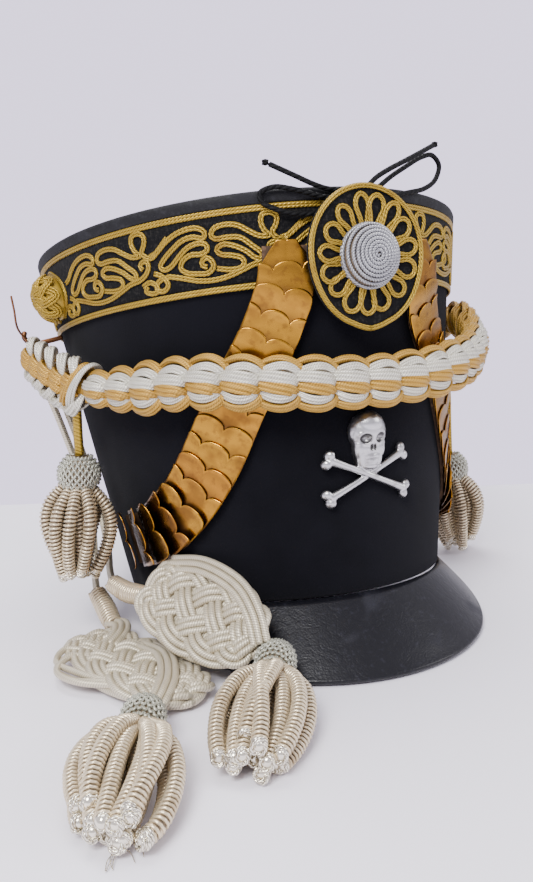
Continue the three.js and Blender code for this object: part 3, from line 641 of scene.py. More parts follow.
class Finish:
    """One material in the making: its nodes, its shader and its bump."""

    def __init__(self, name, **constants):
        self.material = bpy.data.materials.new(name)
        self.material.use_nodes = True
        self.tree = self.material.node_tree
        self.shader = self.tree.nodes["Principled BSDF"]
        self.place = self.tree.nodes.new("ShaderNodeTexCoord").outputs["Object"]
        for label, value in constants.items():
            self.shader.inputs[label.replace("_", " ")].default_value = value

    def group(self, group, **values):
        node = self.tree.nodes.new("ShaderNodeGroup")
        node.node_tree = group
        for label, value in values.items():
            node.inputs[label].default_value = value
        return node.outputs

    def given(self):
        """What a piece's mesh gives at each point, as three numbers."""
        wind = new_node(self.tree, "ShaderNodeAttribute", attribute_name="wind").outputs["Vector"]
        return new_node(self.tree, "ShaderNodeSeparateXYZ", [wind]).outputs

    def times(self, value, factor):
        return maths(self.tree, "MULTIPLY", value, factor)

    def blend(self, share, first, second):
        """A colour between two others, by a share that changes over the surface."""
        ends = [
            value if isinstance(value, bpy.types.NodeSocket) else (*value, 1.0) for value in (first, second)
        ]
        values = {0: share, 6: ends[0], 7: ends[1]}
        return new_node(self.tree, "ShaderNodeMix", values, data_type="RGBA").outputs[2]

    def noise(self, scale, detail=4.0):
        values = {"Vector": self.place, "Scale": scale, "Detail": detail}
        return new_node(self.tree, "ShaderNodeTexNoise", values).outputs[0]

    def colour(self, socket):
        self.tree.links.new(socket, self.shader.inputs["Base Color"])

    def rough(self, value, low, high):
        """Roughness that goes from low to high as the value goes from 0 to 1."""
        between = maths(self.tree, "MULTIPLY_ADD", value, high - low, low)
        self.tree.links.new(between, self.shader.inputs["Roughness"])

    def bump(self, height, distance, strength=1.0):
        """Relief over whatever relief the shader has already."""
        values = {"Height": height, "Distance": distance, "Strength": strength}
        before = self.shader.inputs["Normal"]
        if before.is_linked:
            values["Normal"] = before.links[0].from_socket
        bump = new_node(self.tree, "ShaderNodeBump", values)
        self.tree.links.new(bump.outputs[0], before)


def scaled(colour, factor):
    return tuple(channel * factor for channel in colour)


def colours():
    return bpy.context.scene.shako_colours


@cache
def felt_finish():
    base = tuple(colours().felt)
    finish = Finish("Felt", Roughness=1.0, Sheen_Weight=0.03, Sheen_Roughness=0.6, Specular_IOR_Level=0.06)
    patches = finish.group(mottle(), Patches=22.0, Spots=900.0, Amount=0.7)
    nap = finish.noise(1600.0, 5.0)
    lighter = finish.blend(patches["Patch"], base, scaled(base, 1.6))
    finish.colour(finish.blend(finish.times(nap, 0.5), lighter, scaled(base, 2.4)))
    finish.bump(nap, 0.25 * MM, 0.7)
    finish.bump(finish.noise(90.0), 0.5 * MM, 0.3)
    return finish.material


@cache
def leather_finish(name, base, rough, wear, shine=0.0):
    finish = Finish(name, Coat_Weight=shine, Coat_Roughness=0.16, Specular_IOR_Level=0.24)
    grain = finish.group(hide_grain(), Cells=1100.0, Creases=95.0)
    worn = finish.group(mottle(), Patches=55.0, Spots=420.0, Amount=wear)
    rubbed = finish.blend(worn["Patch"], base, scaled(base, 2.6))
    finish.colour(finish.blend(finish.times(worn["Spot"], 0.5), rubbed, scaled(base, 4.0)))
    finish.rough(worn["Patch"], rough, min(rough + 0.22, 1.0))
    finish.bump(grain["Height"], 0.12 * MM, 0.55)
    finish.bump(worn["Spot"], 0.06 * MM, 0.4)
    return finish.material


@cache
def cloth_finish():
    finish = Finish("Black cloth", Roughness=0.95, Sheen_Weight=0.03, Specular_IOR_Level=0.1)
    values = {"Vector": finish.place, "Scale": 420.0, "Distortion": 0.6, "Detail": 1.0}
    weave = [
        new_node(finish.tree, "ShaderNodeTexWave", values, bands_direction=way).outputs["Fac"]
        for way in "XZ"
    ]
    threads = finish.times(*weave)
    dust = finish.group(mottle(), Patches=70.0, Spots=800.0, Amount=0.55)
    base = (0.004, 0.004, 0.0045)
    shade = finish.blend(threads, base, scaled(base, 2.0))
    finish.colour(finish.blend(finish.times(dust["Spot"], 0.35), shade, (0.035, 0.032, 0.028)))
    finish.bump(threads, 0.12 * MM, 0.6)
    return finish.material


@cache
def thread(name):
    """The finish of one kind of wound or twisted thread."""
    own = colours()
    # Fresh colour, dull colour, metal, roughness, turn in millimetres, tarnish, shine. The dull colour,
    # darkened, is also the painted shade in the grooves.
    base, dull, metal, rough, turn, tarnish, shine = {
        "Gold thread": (own.gold, (0.26, 0.14, 0.02), 0.5, 0.34, 1.9, 0.35, 0.35),
        "Festoon gold": (own.pale_gold, (0.36, 0.18, 0.03), 0.35, 0.34, 1.2, 0.35, 0.35),
        "Festoon silver": ((0.70, 0.67, 0.57), (0.36, 0.33, 0.25), 0.35, 0.32, 1.2, 0.35, 0.5),
        "Silver thread": (own.silver, (0.40, 0.34, 0.22), 0.35, 0.32, 1.2, 0.35, 0.5),
        "Old silver thread": ((0.40, 0.40, 0.42), (0.12, 0.12, 0.12), 0.55, 0.28, 1.6, 0.35, 0.5),
        "Netted silver": ((0.60, 0.60, 0.50), (0.28, 0.27, 0.20), 0.45, 0.3, 1.6, 0.35, 0.5),
        "Bullion wire": ((0.76, 0.64, 0.45), (0.40, 0.29, 0.16), 0.5, 0.22, 1.9, 0.4, 0.5),
        # Painted shade: a dark brown set inside coils and under nets and wound cord, where the gaps fall in
        # shade.
        "Painted shade core": ((0.17, 0.12, 0.07), (0.07, 0.05, 0.03), 0.2, 0.6, 1.9, 0.35, 0.5),
        "Crimped tips": ((0.92, 0.86, 0.72), (0.5, 0.42, 0.28), 0.9, 0.13, 1.9, 0.35, 0.5),
        "Black cord": ((0.003, 0.003, 0.0035), (0.002, 0.002, 0.002), 0.0, 0.6, 3.2, 0.35, 0.15),
    }[name]
    finish = Finish(name, Metallic=metal, Specular_IOR_Level=shine)
    twist = finish.group(thread_twist(), Turn=turn * MM, Plies=3.0)
    aged = finish.group(mottle(), Patches=90.0, Spots=700.0, Amount=tarnish)
    fresh = finish.blend(finish.noise(240.0), scaled(base, 0.82), scaled(base, 1.12))
    old = finish.blend(finish.times(aged["Patch"], 0.7), fresh, dull)
    # Painted shade: the grooves between the plies go dark, towards a third of the dull colour.
    finish.colour(finish.blend(finish.times(twist["Groove shade"], 0.75), old, scaled(dull, 0.35)))
    finish.rough(aged["Patch"], rough, min(rough + 0.25, 1.0))
    finish.bump(twist["Height"], 0.115 * turn * MM, 0.9)
    finish.bump(finish.noise(2600.0, 2.0), 0.06 * MM, 0.5)
    return finish.material


@cache
def brass_finish():
    """Golden brass. Its own tint and its dark share come with each scale; most of the dark share is painted
    shade under the next row.
    """
    base = tuple(colours().brass)
    finish = Finish("Brass", Metallic=1.0)
    aged = finish.group(mottle(), Patches=60.0, Spots=300.0, Amount=0.5)
    dark, own_tint, _ = finish.given()
    warm = finish.blend(own_tint, scaled(base, 1.05), (0.42, 0.18, 0.025))
    cloudy = finish.blend(finish.times(finish.noise(30.0), 0.5), warm, scaled(base, 0.6))
    spotted = finish.blend(finish.times(aged["Spot"], 0.55), cloudy, (0.20, 0.085, 0.02))
    browned = finish.blend(finish.times(aged["Patch"], 0.6), spotted, (0.24, 0.10, 0.025))
    # Painted shade, with some tarnish, from each scale's dark share.
    finish.colour(finish.blend(dark, browned, (0.09, 0.04, 0.015)))
    finish.rough(aged["Patch"], 0.26, 0.5)
    finish.bump(finish.noise(40.0), 0.7 * MM, 0.25)
    finish.bump(finish.noise(900.0), 0.04 * MM, 0.3)
    return finish.material


@cache
def wire_finish():
    """Brass wire in dark browns: painted shade for hooks that sit in shadow beside the rosettes."""
    finish = Finish("Hook wire", Metallic=0.85, Roughness=0.42)
    aged = finish.group(mottle(), Patches=120.0, Spots=500.0, Amount=0.6)
    finish.colour(finish.blend(aged["Patch"], (0.20, 0.085, 0.035), (0.07, 0.03, 0.015)))
    finish.bump(finish.noise(900.0), 0.05 * MM, 0.4)
    return finish.material


@cache
def badge_finish():
    """Satin silver. Its dark share is painted shade in the cast form's hollows."""
    finish = Finish("Badge silver", Metallic=1.0)
    dark = finish.given()[0]
    aged = finish.group(mottle(), Patches=160.0, Spots=1200.0, Amount=0.45)
    bright = finish.blend(aged["Patch"], (0.54, 0.535, 0.535), (0.28, 0.27, 0.27))
    # Painted shade in the hollows, towards a dark grey.
    finish.colour(finish.blend(dark, bright, (0.09, 0.085, 0.08)))
    finish.rough(aged["Patch"], 0.32, 0.46)
    finish.bump(finish.noise(500.0), 0.1 * MM, 0.35)
    return finish.material


# Camera

CAMERA_PLACE = (-196.2, -415.4, 165.4)
CAMERA_TURN = math.radians(24.645)
CAMERA_DIP = math.radians(9.585)
CAMERA_ROLL = math.radians(-2.32)
PHOTO_HEIGHT = 882
FOCAL_PIXELS = 818.8
SENSOR = 36.0


class SHAKO_OT_camera(bpy.types.Operator):
    """Set the camera where the photograph was taken from"""

    bl_idname = "shako.camera"
    bl_label = "Camera"

    def execute(self, context):
        lens = bpy.data.cameras.new("Camera")
        lens.sensor_fit = "VERTICAL"
        lens.sensor_height = SENSOR
        lens.lens = FOCAL_PIXELS / PHOTO_HEIGHT * SENSOR
        camera = in_scene("Camera", lens)
        turn = Matrix.Rotation(-CAMERA_TURN, 4, "Z") @ Matrix.Rotation(math.pi / 2 - CAMERA_DIP, 4, "X")
        turn = turn @ Matrix.Rotation(CAMERA_ROLL, 4, "Z")
        camera.matrix_world = Matrix.Translation(Vector(on_table(CAMERA_PLACE))) @ turn
        context.scene.camera = camera
        return {"FINISHED"}


# Free cords. Their places are the chosen ones of the solids, in millimetres.

RIGHT_TASSEL_CORD = [(-112.6, -8.5, 116.7), (-113, -8.5, 104), (-113, -8.5, 93.8)]
LEFT_TASSEL_CORD = [(123.5, 10.5, 135.2), (126, 9.5, 124), (127, 9, 104), (127, 8.5, 84), (127.3, 8, 64.6)]
LEANING_STEM_CORD = [
    (-121, 37.6, 146.8), (-113.5, 44.5, 130), (-103, 52, 100), (-96, 50, 72), (-92.5, 44, 48),
    (-94, 26, 32), (-98.5, 6, 26.5), (-100.9, -8, 24.6),
]
FLAT_STEM_CORD = [
    (-125.8, 37.5, 146.6), (-119, 43.5, 128), (-108.5, 51, 98), (-101, 51, 70), (-98, 44, 46),
    (-101, 30, 26), (-105, 14, 20.5), (-106.8, 4.6, 17.6),
]
TIE_KNOT = (-0.8, 27.2, 0)
TIE_ROUTES = {
    "tie_loop_right": [
        (-7.9, 26.5, 0), (-16.7, 26.2, 0), (-22.3, 27.7, 0), (-30, 29.8, 0.2), (-37.9, 31, 0.4),
        (-43.6, 28.6, 0.5), (-42.6, 24.8, 0.3), (-36.5, 21.4, 0.2), (-29, 19.4, 0), (-20.5, 19.4, 0),
        (-12.6, 21.8, 0), (-7.6, 23.7, 0),
    ],
    "tie_end_right": [
        (-7.7, 29.3, 0), (-14.1, 29.4, 0.2), (-21.2, 31.3, 1), (-30, 35.3, 1.6), (-39.7, 40.2, 2),
    ],
    "tie_loop_left": [
        (6.3, 28.3, 0), (11.4, 31.2, 0), (18.4, 35.6, -0.6), (29.2, 41.2, -1), (40.9, 46.6, -0.8),
        (48.7, 48.2, 0.6), (53.2, 44.2, 2), (49.4, 37, 2), (40.3, 31.9, 1.4), (28.6, 29.2, 0.6),
        (18.5, 27.2, 0.1), (12, 25.4, 0), (6.4, 25.1, 0),
    ],
    "tie_end_left": [
        (5, 31.2, 0.2), (9.4, 34.8, 0.8), (15.7, 38.2, 1.6), (25.2, 42.4, 2.2), (36.7, 47.4, 2.4),
        (47.3, 52, 2.6),
    ],
}
TIE_TIP = 1.4 * MM
PIPING_DEPTH = 2.4 * MM


def tie_places(points):
    """Places of the tied cord, over the curved front of the cap."""
    height = bpy.context.scene.shako_cap.cockade_height
    half_length, half_width = cap_half_sizes(height / CAP_HEIGHT)
    front_radius = half_width ** 2 / half_length
    across, up, lift = np.moveaxis(np.asarray(points, float) * MM, -1, 0)
    out = PIPING_DEPTH + 2 * FIT_GAP + bpy.context.scene.shako_cords.tie_cord / 2
    return on_cockade(across, up, out + lift - across ** 2 / (2 * front_radius), height)


def free_cord(name, route, diameter, finish, slot, node, sides=12, lobes=0, **facts):
    """A round cord of its real length along its route. The pieces on it are not used."""
    path = smooth(route, diameter * 0.5)
    skin = Skin()
    skin.tube(path, diameter / 2, sides, lobes=lobes)
    piece = skin.made(name, finish)
    settle(piece, slot, node)
    return piece


class SHAKO_OT_tied_cord(bpy.types.Operator):
    """Tie the black cord behind the cockade's top, with two loops and two knotted ends"""

    bl_idname = "shako.tied_cord"
    bl_label = "Tied cord"

    def execute(self, context):
        diameter = context.scene.shako_cords.tie_cord
        finish = thread("Black cord")
        knot = Skin()
        middle = tie_places([TIE_KNOT])[0]
        ring = round_turn(20)
        for turn in range(4):
            aside = (turn - 1.5) * 1.9 * MM
            hoop = oval(ring, 1.1 * MM, 3.2 * MM, aside)[:, [2, 0, 1]]
            knot.tube(middle + hoop, diameter * 0.42, 8, closed=True)
        knot.ball(middle, (4.6 * MM, 0.9 * MM, 2.6 * MM))
        settle(knot.made("bow_knot", finish), "black_cord", "tie_knot")
        for side in SIDES:
            last = np.array(TIE_ROUTES[f"tie_end_{side}"][-2:])
            run = unit(last[1] - last[0])
            centre = tie_places([last[1] + run * (TIE_TIP / MM + 0.4)])[0]
            tip = Skin()
            tip.ball(centre, (TIE_TIP, TIE_TIP * 0.9, TIE_TIP), 10, 16)
            for lean in (-0.6, 0.7):
                hoop = oval(ring, 1.0, 0.9, lean * np.cos(ring))
                tip.tube(centre + hoop * TIE_TIP * 0.75, TIE_TIP * 0.36, 8, closed=True)
            tip = settle(tip.made(f"bow_tip_{side}", finish), "black_cord", f"tie_tip_{side}")
            for part, facts in {
                "end": {"far_end": "knot", "with_pieces": [tip]}, "loop": {"far_end": "object"},
            }.items():
                route = tie_places(TIE_ROUTES[f"tie_{part}_{side}"])
                free_cord(
                    f"bow_{part}_{side}", route, diameter, finish, "black_cord", f"tie_{part}_{side}",
                    stiffness="medium", lay="loose", **facts,
                )
        return {"FINISHED"}


# Tassels

TASSELS = {
    "right": {"top": (-113, -8.5, 93.2), "foot": (-119, -8.5, 30), "head": 10.8, "lies": False},
    "left": {"top": (127.5, 8, 64), "foot": (134, 6, 6), "head": 10.8, "lies": False},
    "leaning": {"top": (-55.4, -111.9, 16.1), "foot": (-96, -172, 13.2), "head": 9, "lies": True},
    "flat": {"top": (-117.5, -121.5, 10.5), "foot": (-150, -186, 13.2), "head": 9, "lies": True},
}
TASSEL_SPREAD = 18.9 * MM
LYING_LENGTH = 74 * MM
LYING_FLATNESS = 0.55
LYING_SAG = 5.5 * MM

# A bullion's run: how far down the tassel it is, how far out from the middle when it hangs and
# when it lies, and how full its coil is. The coil is drawn in where it enters the head.
BULLION_RUN = [
    (0.22, 0.30, 0.28, 0.72), (0.30, 0.56, 0.54, 0.86), (0.41, 0.88, 0.90, 1.0), (0.56, 1.05, 1.12, 1.0),
    (0.72, 0.98, 1.14, 1.0), (0.87, 0.78, 1.0, 1.0), (0.97, 0.60, 0.82, 1.0),
]
HEAD_DEPTH = 17.5 * MM
NET_ROUNDS = 9
NET_LOOPS = 20
NET_THREAD = 0.62 * MM


def netted_head(skin, placing, radius):
    """A knitted net over the tassel's head: rounds of small loops, each hung from the last."""

    def width_at(share):
        return radius * (0.25 + 0.75 * np.sin(np.pi * np.minimum(0.12 + 0.74 * share, 1)))

    share = np.linspace(1, 0, 10)[:, None]
    wide = width_at(share) * 0.9
    # Painted shade: the solid under the net is a dark brown, so the holes between its loops look shaded.
    skin.solid(carry(placing, oval(round_turn(24), wide, wide, -HEAD_DEPTH * share)), slot=1)
    fine = round_turn(NET_LOOPS * 6)
    for around in range(NET_ROUNDS):
        share = (around + 0.4) / NET_ROUNDS
        wave = np.cos(NET_LOOPS * fine + math.pi * around)
        lift = width_at(share) * (0.96 + 0.035 * np.cos(2 * NET_LOOPS * fine))
        fall = -HEAD_DEPTH * (share - wave * 0.58 / NET_ROUNDS)
        skin.tube(carry(placing, oval(fine, lift, lift, fall)), NET_THREAD, 5, closed=True)


def crimped_tip(skin, end, ahead, radius, draw):
    """The shiny wire curls in which a bullion ends."""
    side = unit(np.cross(ahead, [0.3, 0.2, 1.0]))
    other = np.cross(ahead, side)
    skin.ball(end + 0.1 * radius * ahead, (0.8 * radius,) * 3, 7, 10, slot=3)
    for _ in range(7):
        start = draw.uniform(0, 2 * math.pi)
        span = draw.uniform(1.0, 1.6) * math.pi
        reach = radius * draw.uniform(0.5, 0.85)
        tilt = draw.uniform(-0.5, 0.5)
        turn = start + np.linspace(0, span, 12)
        rise = radius * (draw.uniform(0.0, 0.7) + 0.3 * np.sin(turn + tilt))
        path = end + reach * (np.cos(turn)[:, None] * side + np.sin(turn)[:, None] * other)
        skin.tube(path + rise[:, None] * ahead, 0.7 * MM, 6, slot=3)


def bullions(side, spec, placing, sizes):
    """The middle lines of a tassel's bullions, and how full their coils are along them."""
    draw = random.Random(f"bullions {side}")
    length = LYING_LENGTH if spec["lies"] else sizes.tassel_length
    flat = LYING_FLATNESS if spec["lies"] else 1.0
    lines = []
    for count, ring, shift in ((10, 1.0, 0.0), (6, 0.5, 0.3)):
        for k in range(count):
            turn = 2 * math.pi * (k + shift) / count + draw.uniform(-0.14, 0.14)
            reach = draw.uniform(0.88, 1.03) - (0.1 * math.cos(turn) if side == "flat" else 0)
            sway = draw.uniform(-0.4, 0.4)
            ease = draw.uniform(0.9, 1.06)
            points = []
            for drop, hanging, lying, _ in BULLION_RUN:
                angle = turn + sway * (drop - 0.3) / 0.5
                spread = lying if spec["lies"] else hanging
                out = (TASSEL_SPREAD - sizes.bullion_radius) * ring * spread * ease
                sag = LYING_SAG * max(drop - 0.45, 0) / 0.5 if spec["lies"] else 0
                down = min(drop * reach, 0.97) * length
                points.append((out * math.cos(angle), out * math.sin(angle) * flat - sag, -down))
            line = smooth(points, 1.5 * MM)
            drops = [-p[2] for p in points]
            swell = np.interp(-line[:, 2], drops, [row[3] for row in BULLION_RUN])
            line = carry(placing, line)
            line[:, 2] = np.maximum(line[:, 2], sizes.bullion_radius + 0.3 * MM)
            lines.append((line, swell))
    return lines, draw


def loose_threads(skin, end, draw):
    """A few fine threads that have come away from the lying tassel."""
    for _ in range(6):
        way = np.array([draw.uniform(-0.6, 0.8), -1.0, 0.0])
        points = []
        for reach in (0, 4, 8, 12):
            points.append(end + unit(way) * reach * MM + np.array([draw.uniform(-2, 2) * MM, 0, 0]))
        line = smooth(points, 1 * MM)
        line[:, 2] = np.linspace(2.5 * MM, 0.3 * MM, len(line))
        skin.tube(line, 0.17 * MM, 4, slot=3)


def make_tassel(side, sizes):
    """One tassel: netted head, coiled bullions and curled tips."""
    spec = TASSELS[side]
    placing = aimed(on_table(spec["top"]), on_table(spec["foot"]))
    lines, draw = bullions(side, spec, placing, sizes)
    wire = sizes.bullion_wire
    coil = wound(
        f"tassel_coils_{side}", [path for path, _ in lines], thread("Bullion wire"), 1, sizes.bullion_turn,
        sizes.bullion_radius - wire, wire, [swell for _, swell in lines],
    )
    skin = Skin()
    netted_head(skin, placing, spec["head"] * MM)
    for path, swell in lines:
        # Painted shade: a dark core inside each coil, so the gaps between its turns look shaded.
        skin.tube(path, (sizes.bullion_radius - 1.5 * wire) * swell, 8, slot=2)
        crimped_tip(skin, path[-1], tangents(path)[-1], sizes.bullion_radius, draw)
    if side == "flat":
        loose_threads(skin, lines[7][0][-1], draw)
    # Slots 1 and 2, the head's solid and the bullions' cores, take the painted shade.
    finishes = (
        thread("Netted silver"), thread("Painted shade core"), thread("Painted shade core"), thread("Crimped tips")
    )
    rest = skin.made(f"tassel_rest_{side}", *finishes)
    return settle(merged(f"corded_tassel_{side}", coil, rest), "silver_cord", f"tassel_{side}")


class SHAKO_OT_tassels(bpy.types.Operator):
    """Make the four tassels, and hang two of them by their cords"""

    bl_idname = "shako.tassels"
    bl_label = "Tassels"

    def execute(self, context):
        sizes = context.scene.shako_cords
        made = {side: make_tassel(side, sizes) for side in TASSELS}
        routes = {"right": RIGHT_TASSEL_CORD, "left": LEFT_TASSEL_CORD}
        for side, route in routes.items():
            points = on_table(route)
            if side == "left":
                free_cord(
                    f"tassel_line_{side}", points, sizes.tassel_cord, thread("Gold thread"), "gold_cord",
                    f"tassel_cord_{side}", sides=20, lobes=5, far_end="fitting", stiffness="limp",
                    lay="hanging", with_pieces=[made[side]],
                )
                continue
            skin = Skin()
            skin.tube(smooth(points, 2 * MM), sizes.tassel_cord / 2, 20, lobes=5)
            settle(
                skin.made(f"tassel_line_{side}", thread("Gold thread")), "gold_cord", f"tassel_cord_{side}"
            )
        return {"FINISHED"}


# Flounders

LEANING_STEM = [(-101, -9, 24.5), (-97, -24, 23.5), (-93, -36, 25), (-91.3, -41.7, 26)]
FLAT_STEM = [(-107.2, 3.4, 17), (-105.5, -8, 11), (-105, -18, 7.2), (-104.4, -21.5, 6.4)]
FLAT_LINK = [(-111.9, -107.7, 5.9), (-115, -114, 8.2), (-117.1, -120, 10.1)]
FLOUNDERS = {
    "leaning": {
        "centre": (-78, -77.4, 27.6), "along": (0.376, -0.912, -0.16), "across": (0.68, 0.14, 0.72),
        "length": 78 * MM, "stem": LEANING_STEM, "cord": LEANING_STEM_CORD, "weave": (3, 5),
        "leads": [[(-30, 13, 1.5), (-10, 18.5, 3.9), (14, 17, 3.9), (30, 9, 3.9), (39.5, 0, 2)]],
    },
    "flat": {
        "centre": (-108, -69, 4.9), "along": (0.277, -0.96, 0), "across": (0.96, 0.277, 0),
        "length": 94 * MM, "stem": FLAT_STEM, "cord": FLAT_STEM_CORD, "weave": (3, 7),
        "leads": [
            [(-14, 14, 1.5), (6, 12, 3.7), (26, 1, 3.7), (38, -10, 3.7), (43, -17, 2)],
            [(-48, 16.5, 2.5), (-40, 17, 3.7), (-30, 11, 3.7), (-25, 2, 1.5)],
        ],
    },
}
FLOUNDER_WIDTH = 44 * MM
FLOUNDER_CORD = 3.1 * MM
WEAVE_LIFT = 1.6 * MM
STEM_TURN = 1.9 * MM
STEM_LAY = 4.8 * MM
STEM_WIRE = 0.75 * MM
STEM_CORE = 4.4 * MM


def cross_product(first, second):
    return first[..., 0] * second[..., 1] - first[..., 1] * second[..., 0]


def over_and_under(line):
    """Heights, from -1 to 1, that carry a flat closed line over and under itself by turns."""
    step = np.roll(line, -1, axis=0) - line
    apart = line[None] - line[:, None]
    sine = cross_product(step[:, None], step[None])
    sine = np.where(np.abs(sine) < 1e-15, 1e-15, sine)
    here = cross_product(apart, step[None]) / sine
    there = cross_product(apart, step[:, None]) / sine
    meet = (here >= 0) & (here < 1) & (there >= 0) & (there < 1)
    first, second = np.nonzero(np.triu(meet, 2))
    keep = ~((first == 0) & (second == len(line) - 1))
    first, second = first[keep], second[keep]
    places = np.sort(np.concatenate([first + here[first, second], second + there[first, second]]))
    places = np.concatenate([[places[-1] - len(line)], places, [places[0] + len(line)]])
    return np.cos(np.pi * np.interp(np.arange(len(line)), places, np.arange(len(places))))


def flounder_cords(skin, placing, half_length, half_width, weave, leads):
    """An oval mat: one band of three silver cords that weaves over and under itself."""
    normal = placing[0][:, 2]
    band = 3 * FLOUNDER_CORD

    def lay(path, closed=False):
        skin.braid(carry(placing, path), normal, band, 3, 8, closed=closed)

    turn = round_turn(1800)
    ends, sides = weave
    far = np.cos(ends * turn)
    reach = (half_width - band / 2) * np.sin(sides * turn) * np.sqrt(1 - 0.7 * far ** 2)
    flat = even(np.stack([(half_length - band / 2 - 1.5 * MM) * far, reach], -1), 1.7 * MM, closed=True)
    height = WEAVE_LIFT * over_and_under(flat) + 0.4 * MM
    lay(np.concatenate([flat, height[:, None]], -1), closed=True)
    rim = round_turn(96)
    for layer, inset in enumerate((1.7 * MM, 4.7 * MM, 7.6 * MM)):
        lift = -1.7 * MM + 0.3 * MM * np.sin(5 * rim + 2.1 * layer)
        ring = carry(placing, oval(rim, half_length - inset, half_width - inset, lift))
        skin.tube(ring, FLOUNDER_CORD / 2, 8, closed=True)
    end = half_length - 6 * MM
    middle = smooth([[reach, 0, -1.9 * MM] for reach in (-end, 0, end)], 4 * MM)
    radius = np.interp(middle[:, 0], (-end, 0, end), (half_width - 5 * MM) * np.array([0.55, 1.0, 0.55]))
    skin.tube(carry(placing, middle), radius, 16, normals=normal, flat=0.09)
    for lead in leads:
        lay(smooth(np.array(lead) * MM, 1.7 * MM))


def loose_loops(skin, placing):
    """Loops of the lying flounder that have come loose at its upper end."""
    for k, (reach, height) in enumerate([(25.0, 1.2), (27.4, -0.6), (29.4, 1.0)]):
        start = -36 + 4.5 * k
        points = [
            (start + 7, -10, 1.5), (start + 1, -16 - k, height + 1), (start + 9, -reach, height),
            (start + 24, -reach + 1.5, height - 0.4), (start + 38, -19, 0.6), (start + 48, -14, 1.0),
        ]
        skin.tube(carry(placing, smooth(np.array(points) * MM, 1.8 * MM)), FLOUNDER_CORD / 2, 8)


class SHAKO_OT_flounders(bpy.types.Operator):
    """Plait the two flounders, wind their stems and run their cords up to the cap"""

    bl_idname = "shako.flounders"
    bl_label = "Flounders"

    def execute(self, context):
        sizes = context.scene.shako_cords
        silver = thread("Silver thread")
        for side, spec in FLOUNDERS.items():
            placing = laid(on_table(spec["centre"]), spec["along"], spec["across"])
            skin = Skin()
            flounder_cords(
                skin, placing, spec["length"] / 2, FLOUNDER_WIDTH / 2, spec["weave"], spec["leads"]
            )
            if side == "flat":
                loose_loops(skin, placing)
            settle(skin.made(f"plaited_flounder_{side}", silver), "silver_cord", f"flounder_{side}")
            path = smooth(on_table(spec["stem"]), 1.5 * MM)
            swell = 0.86 + 0.14 * np.sin(np.pi * np.linspace(0, 1, len(path)))
            coil = wound(
                f"stem_coil_{side}", [path], thread("Bullion wire"), 1, STEM_TURN, STEM_LAY, STEM_WIRE,
                [swell]
            )
            # Painted shade: a dark core under the wound wire, so the gaps between its turns look shaded.
            core = Skin()
            core.tube(path, STEM_CORE * swell, 14)
            stem = merged(f"wound_stem_{side}", coil, core.made(f"stem_shade_core_{side}", thread("Painted shade core")))
            settle(stem, "silver_cord", f"flounder_stem_{side}")
            free_cord(
                f"flounder_line_{side}", on_table(spec["cord"]), sizes.line_cord, silver, "silver_cord",
                f"flounder_cord_{side}", sides=20, lobes=5, far_end="fitting", stiffness="limp",
                lay="hanging", with_pieces=[stem],
            )
        skin = Skin()
        link = smooth(on_table(FLAT_LINK), 1.2 * MM)
        skin.braid(link, carried(link), 5.6 * MM, 3, 8)
        skin.tube(link, 1.9 * MM, 10)
        settle(skin.made("tassel_lead_flat", silver), "silver_cord", "tassel_link_flat")
        return {"FINISHED"}


# Felt, crown, visor and band


def ring_skin(section, steps, wobble=0.0):
    """A closed ring round the cap from a section of (out, height) corners."""
    outs, heights = np.array(section).T
    angle, out = np.meshgrid(round_turn(steps), outs, indexing="ij")
    points = on_cap(angle, heights[None], out)
    for i, j in np.argwhere(out >= 0) if wobble else ():
        out[i, j] -= abs(noise.noise(Vector(points[i, j]) * 28) * wobble)
    points = on_cap(angle, heights[None], out)
    skin = Skin()
    skin.grid(to_row(points), closed_rows=True, closed_across=True)
    return skin


class SHAKO_OT_felt(bpy.types.Operator):
    """Block the felt cap, a wall open below with a rounded rim"""

    bl_idname = "shako.felt"
    bl_label = "Felt cap"

    def execute(self, context):
        wall = context.scene.shako_cap.felt_wall
        top = CAP_HEIGHT - 2.5 * MM
        edge = 0.8 * MM
        outer = [(0.0, h) for h in np.linspace(edge, top, 34)]
        inner = [(-wall, h) for h in np.linspace(top, edge, 12)]
        section = inner + [(-wall + edge, 0.0), (-edge, 0.0)] + outer
        skin = ring_skin(section, 192, wobble=0.35 * MM)
        settle(skin.made("felt_cap", felt_finish()), "felt", "felt_body")
        return {"FINISHED"}


class SHAKO_OT_crown(bpy.types.Operator):
    """Stretch the leather over the crown, with its edge turned down"""

    bl_idname = "shako.crown"
    bl_label = "Leather crown"

    def execute(self, context):
        depth = context.scene.shako_cap.crown_edge
        out = FIT_GAP + 1.8 * MM
        turn = round_turn(160)
        profile = [
            (FIT_GAP, -depth), (out - 0.5 * MM, -depth), (out, -depth + 0.6 * MM), (out, -depth / 2),
            (out, -1.9 * MM), (out - 0.5 * MM, -0.75 * MM), (out - 1.6 * MM, -0.1 * MM),
            (out - 3.2 * MM, 0.1 * MM), (out - 7 * MM, 0.0), (out - 9 * MM, -0.35 * MM),
        ]
        rows = [on_cap(turn, CAP_HEIGHT + below, aside) for aside, below in profile]
        for share in (0.86, 0.7, 0.5, 0.3, 0.12):
            dish = -0.5 * MM - 0.5 * MM * math.cos(share * math.pi / 2)
            rows.append(on_cap(turn, CAP_HEIGHT + dish, out - 9 * MM, share))
        under = [on_cap(turn, CAP_HEIGHT - 2.2 * MM, FIT_GAP, share) for share in (0.12, 0.5, 1.0)]
        skin = Skin()
        skin.solid(to_row(np.array(under + rows)), flip=True)
        leather = leather_finish("Flat top leather", (0.005, 0.005, 0.006), 0.62, 0.5)
        settle(skin.made("leather_crown", leather), "crown_leather", "crown_leather")
        return {"FINISHED"}


VISOR_HALF_ANGLE = math.radians(66)
VISOR_END_POWER = 6
VISOR_END_DEPTH = 1.2 * MM


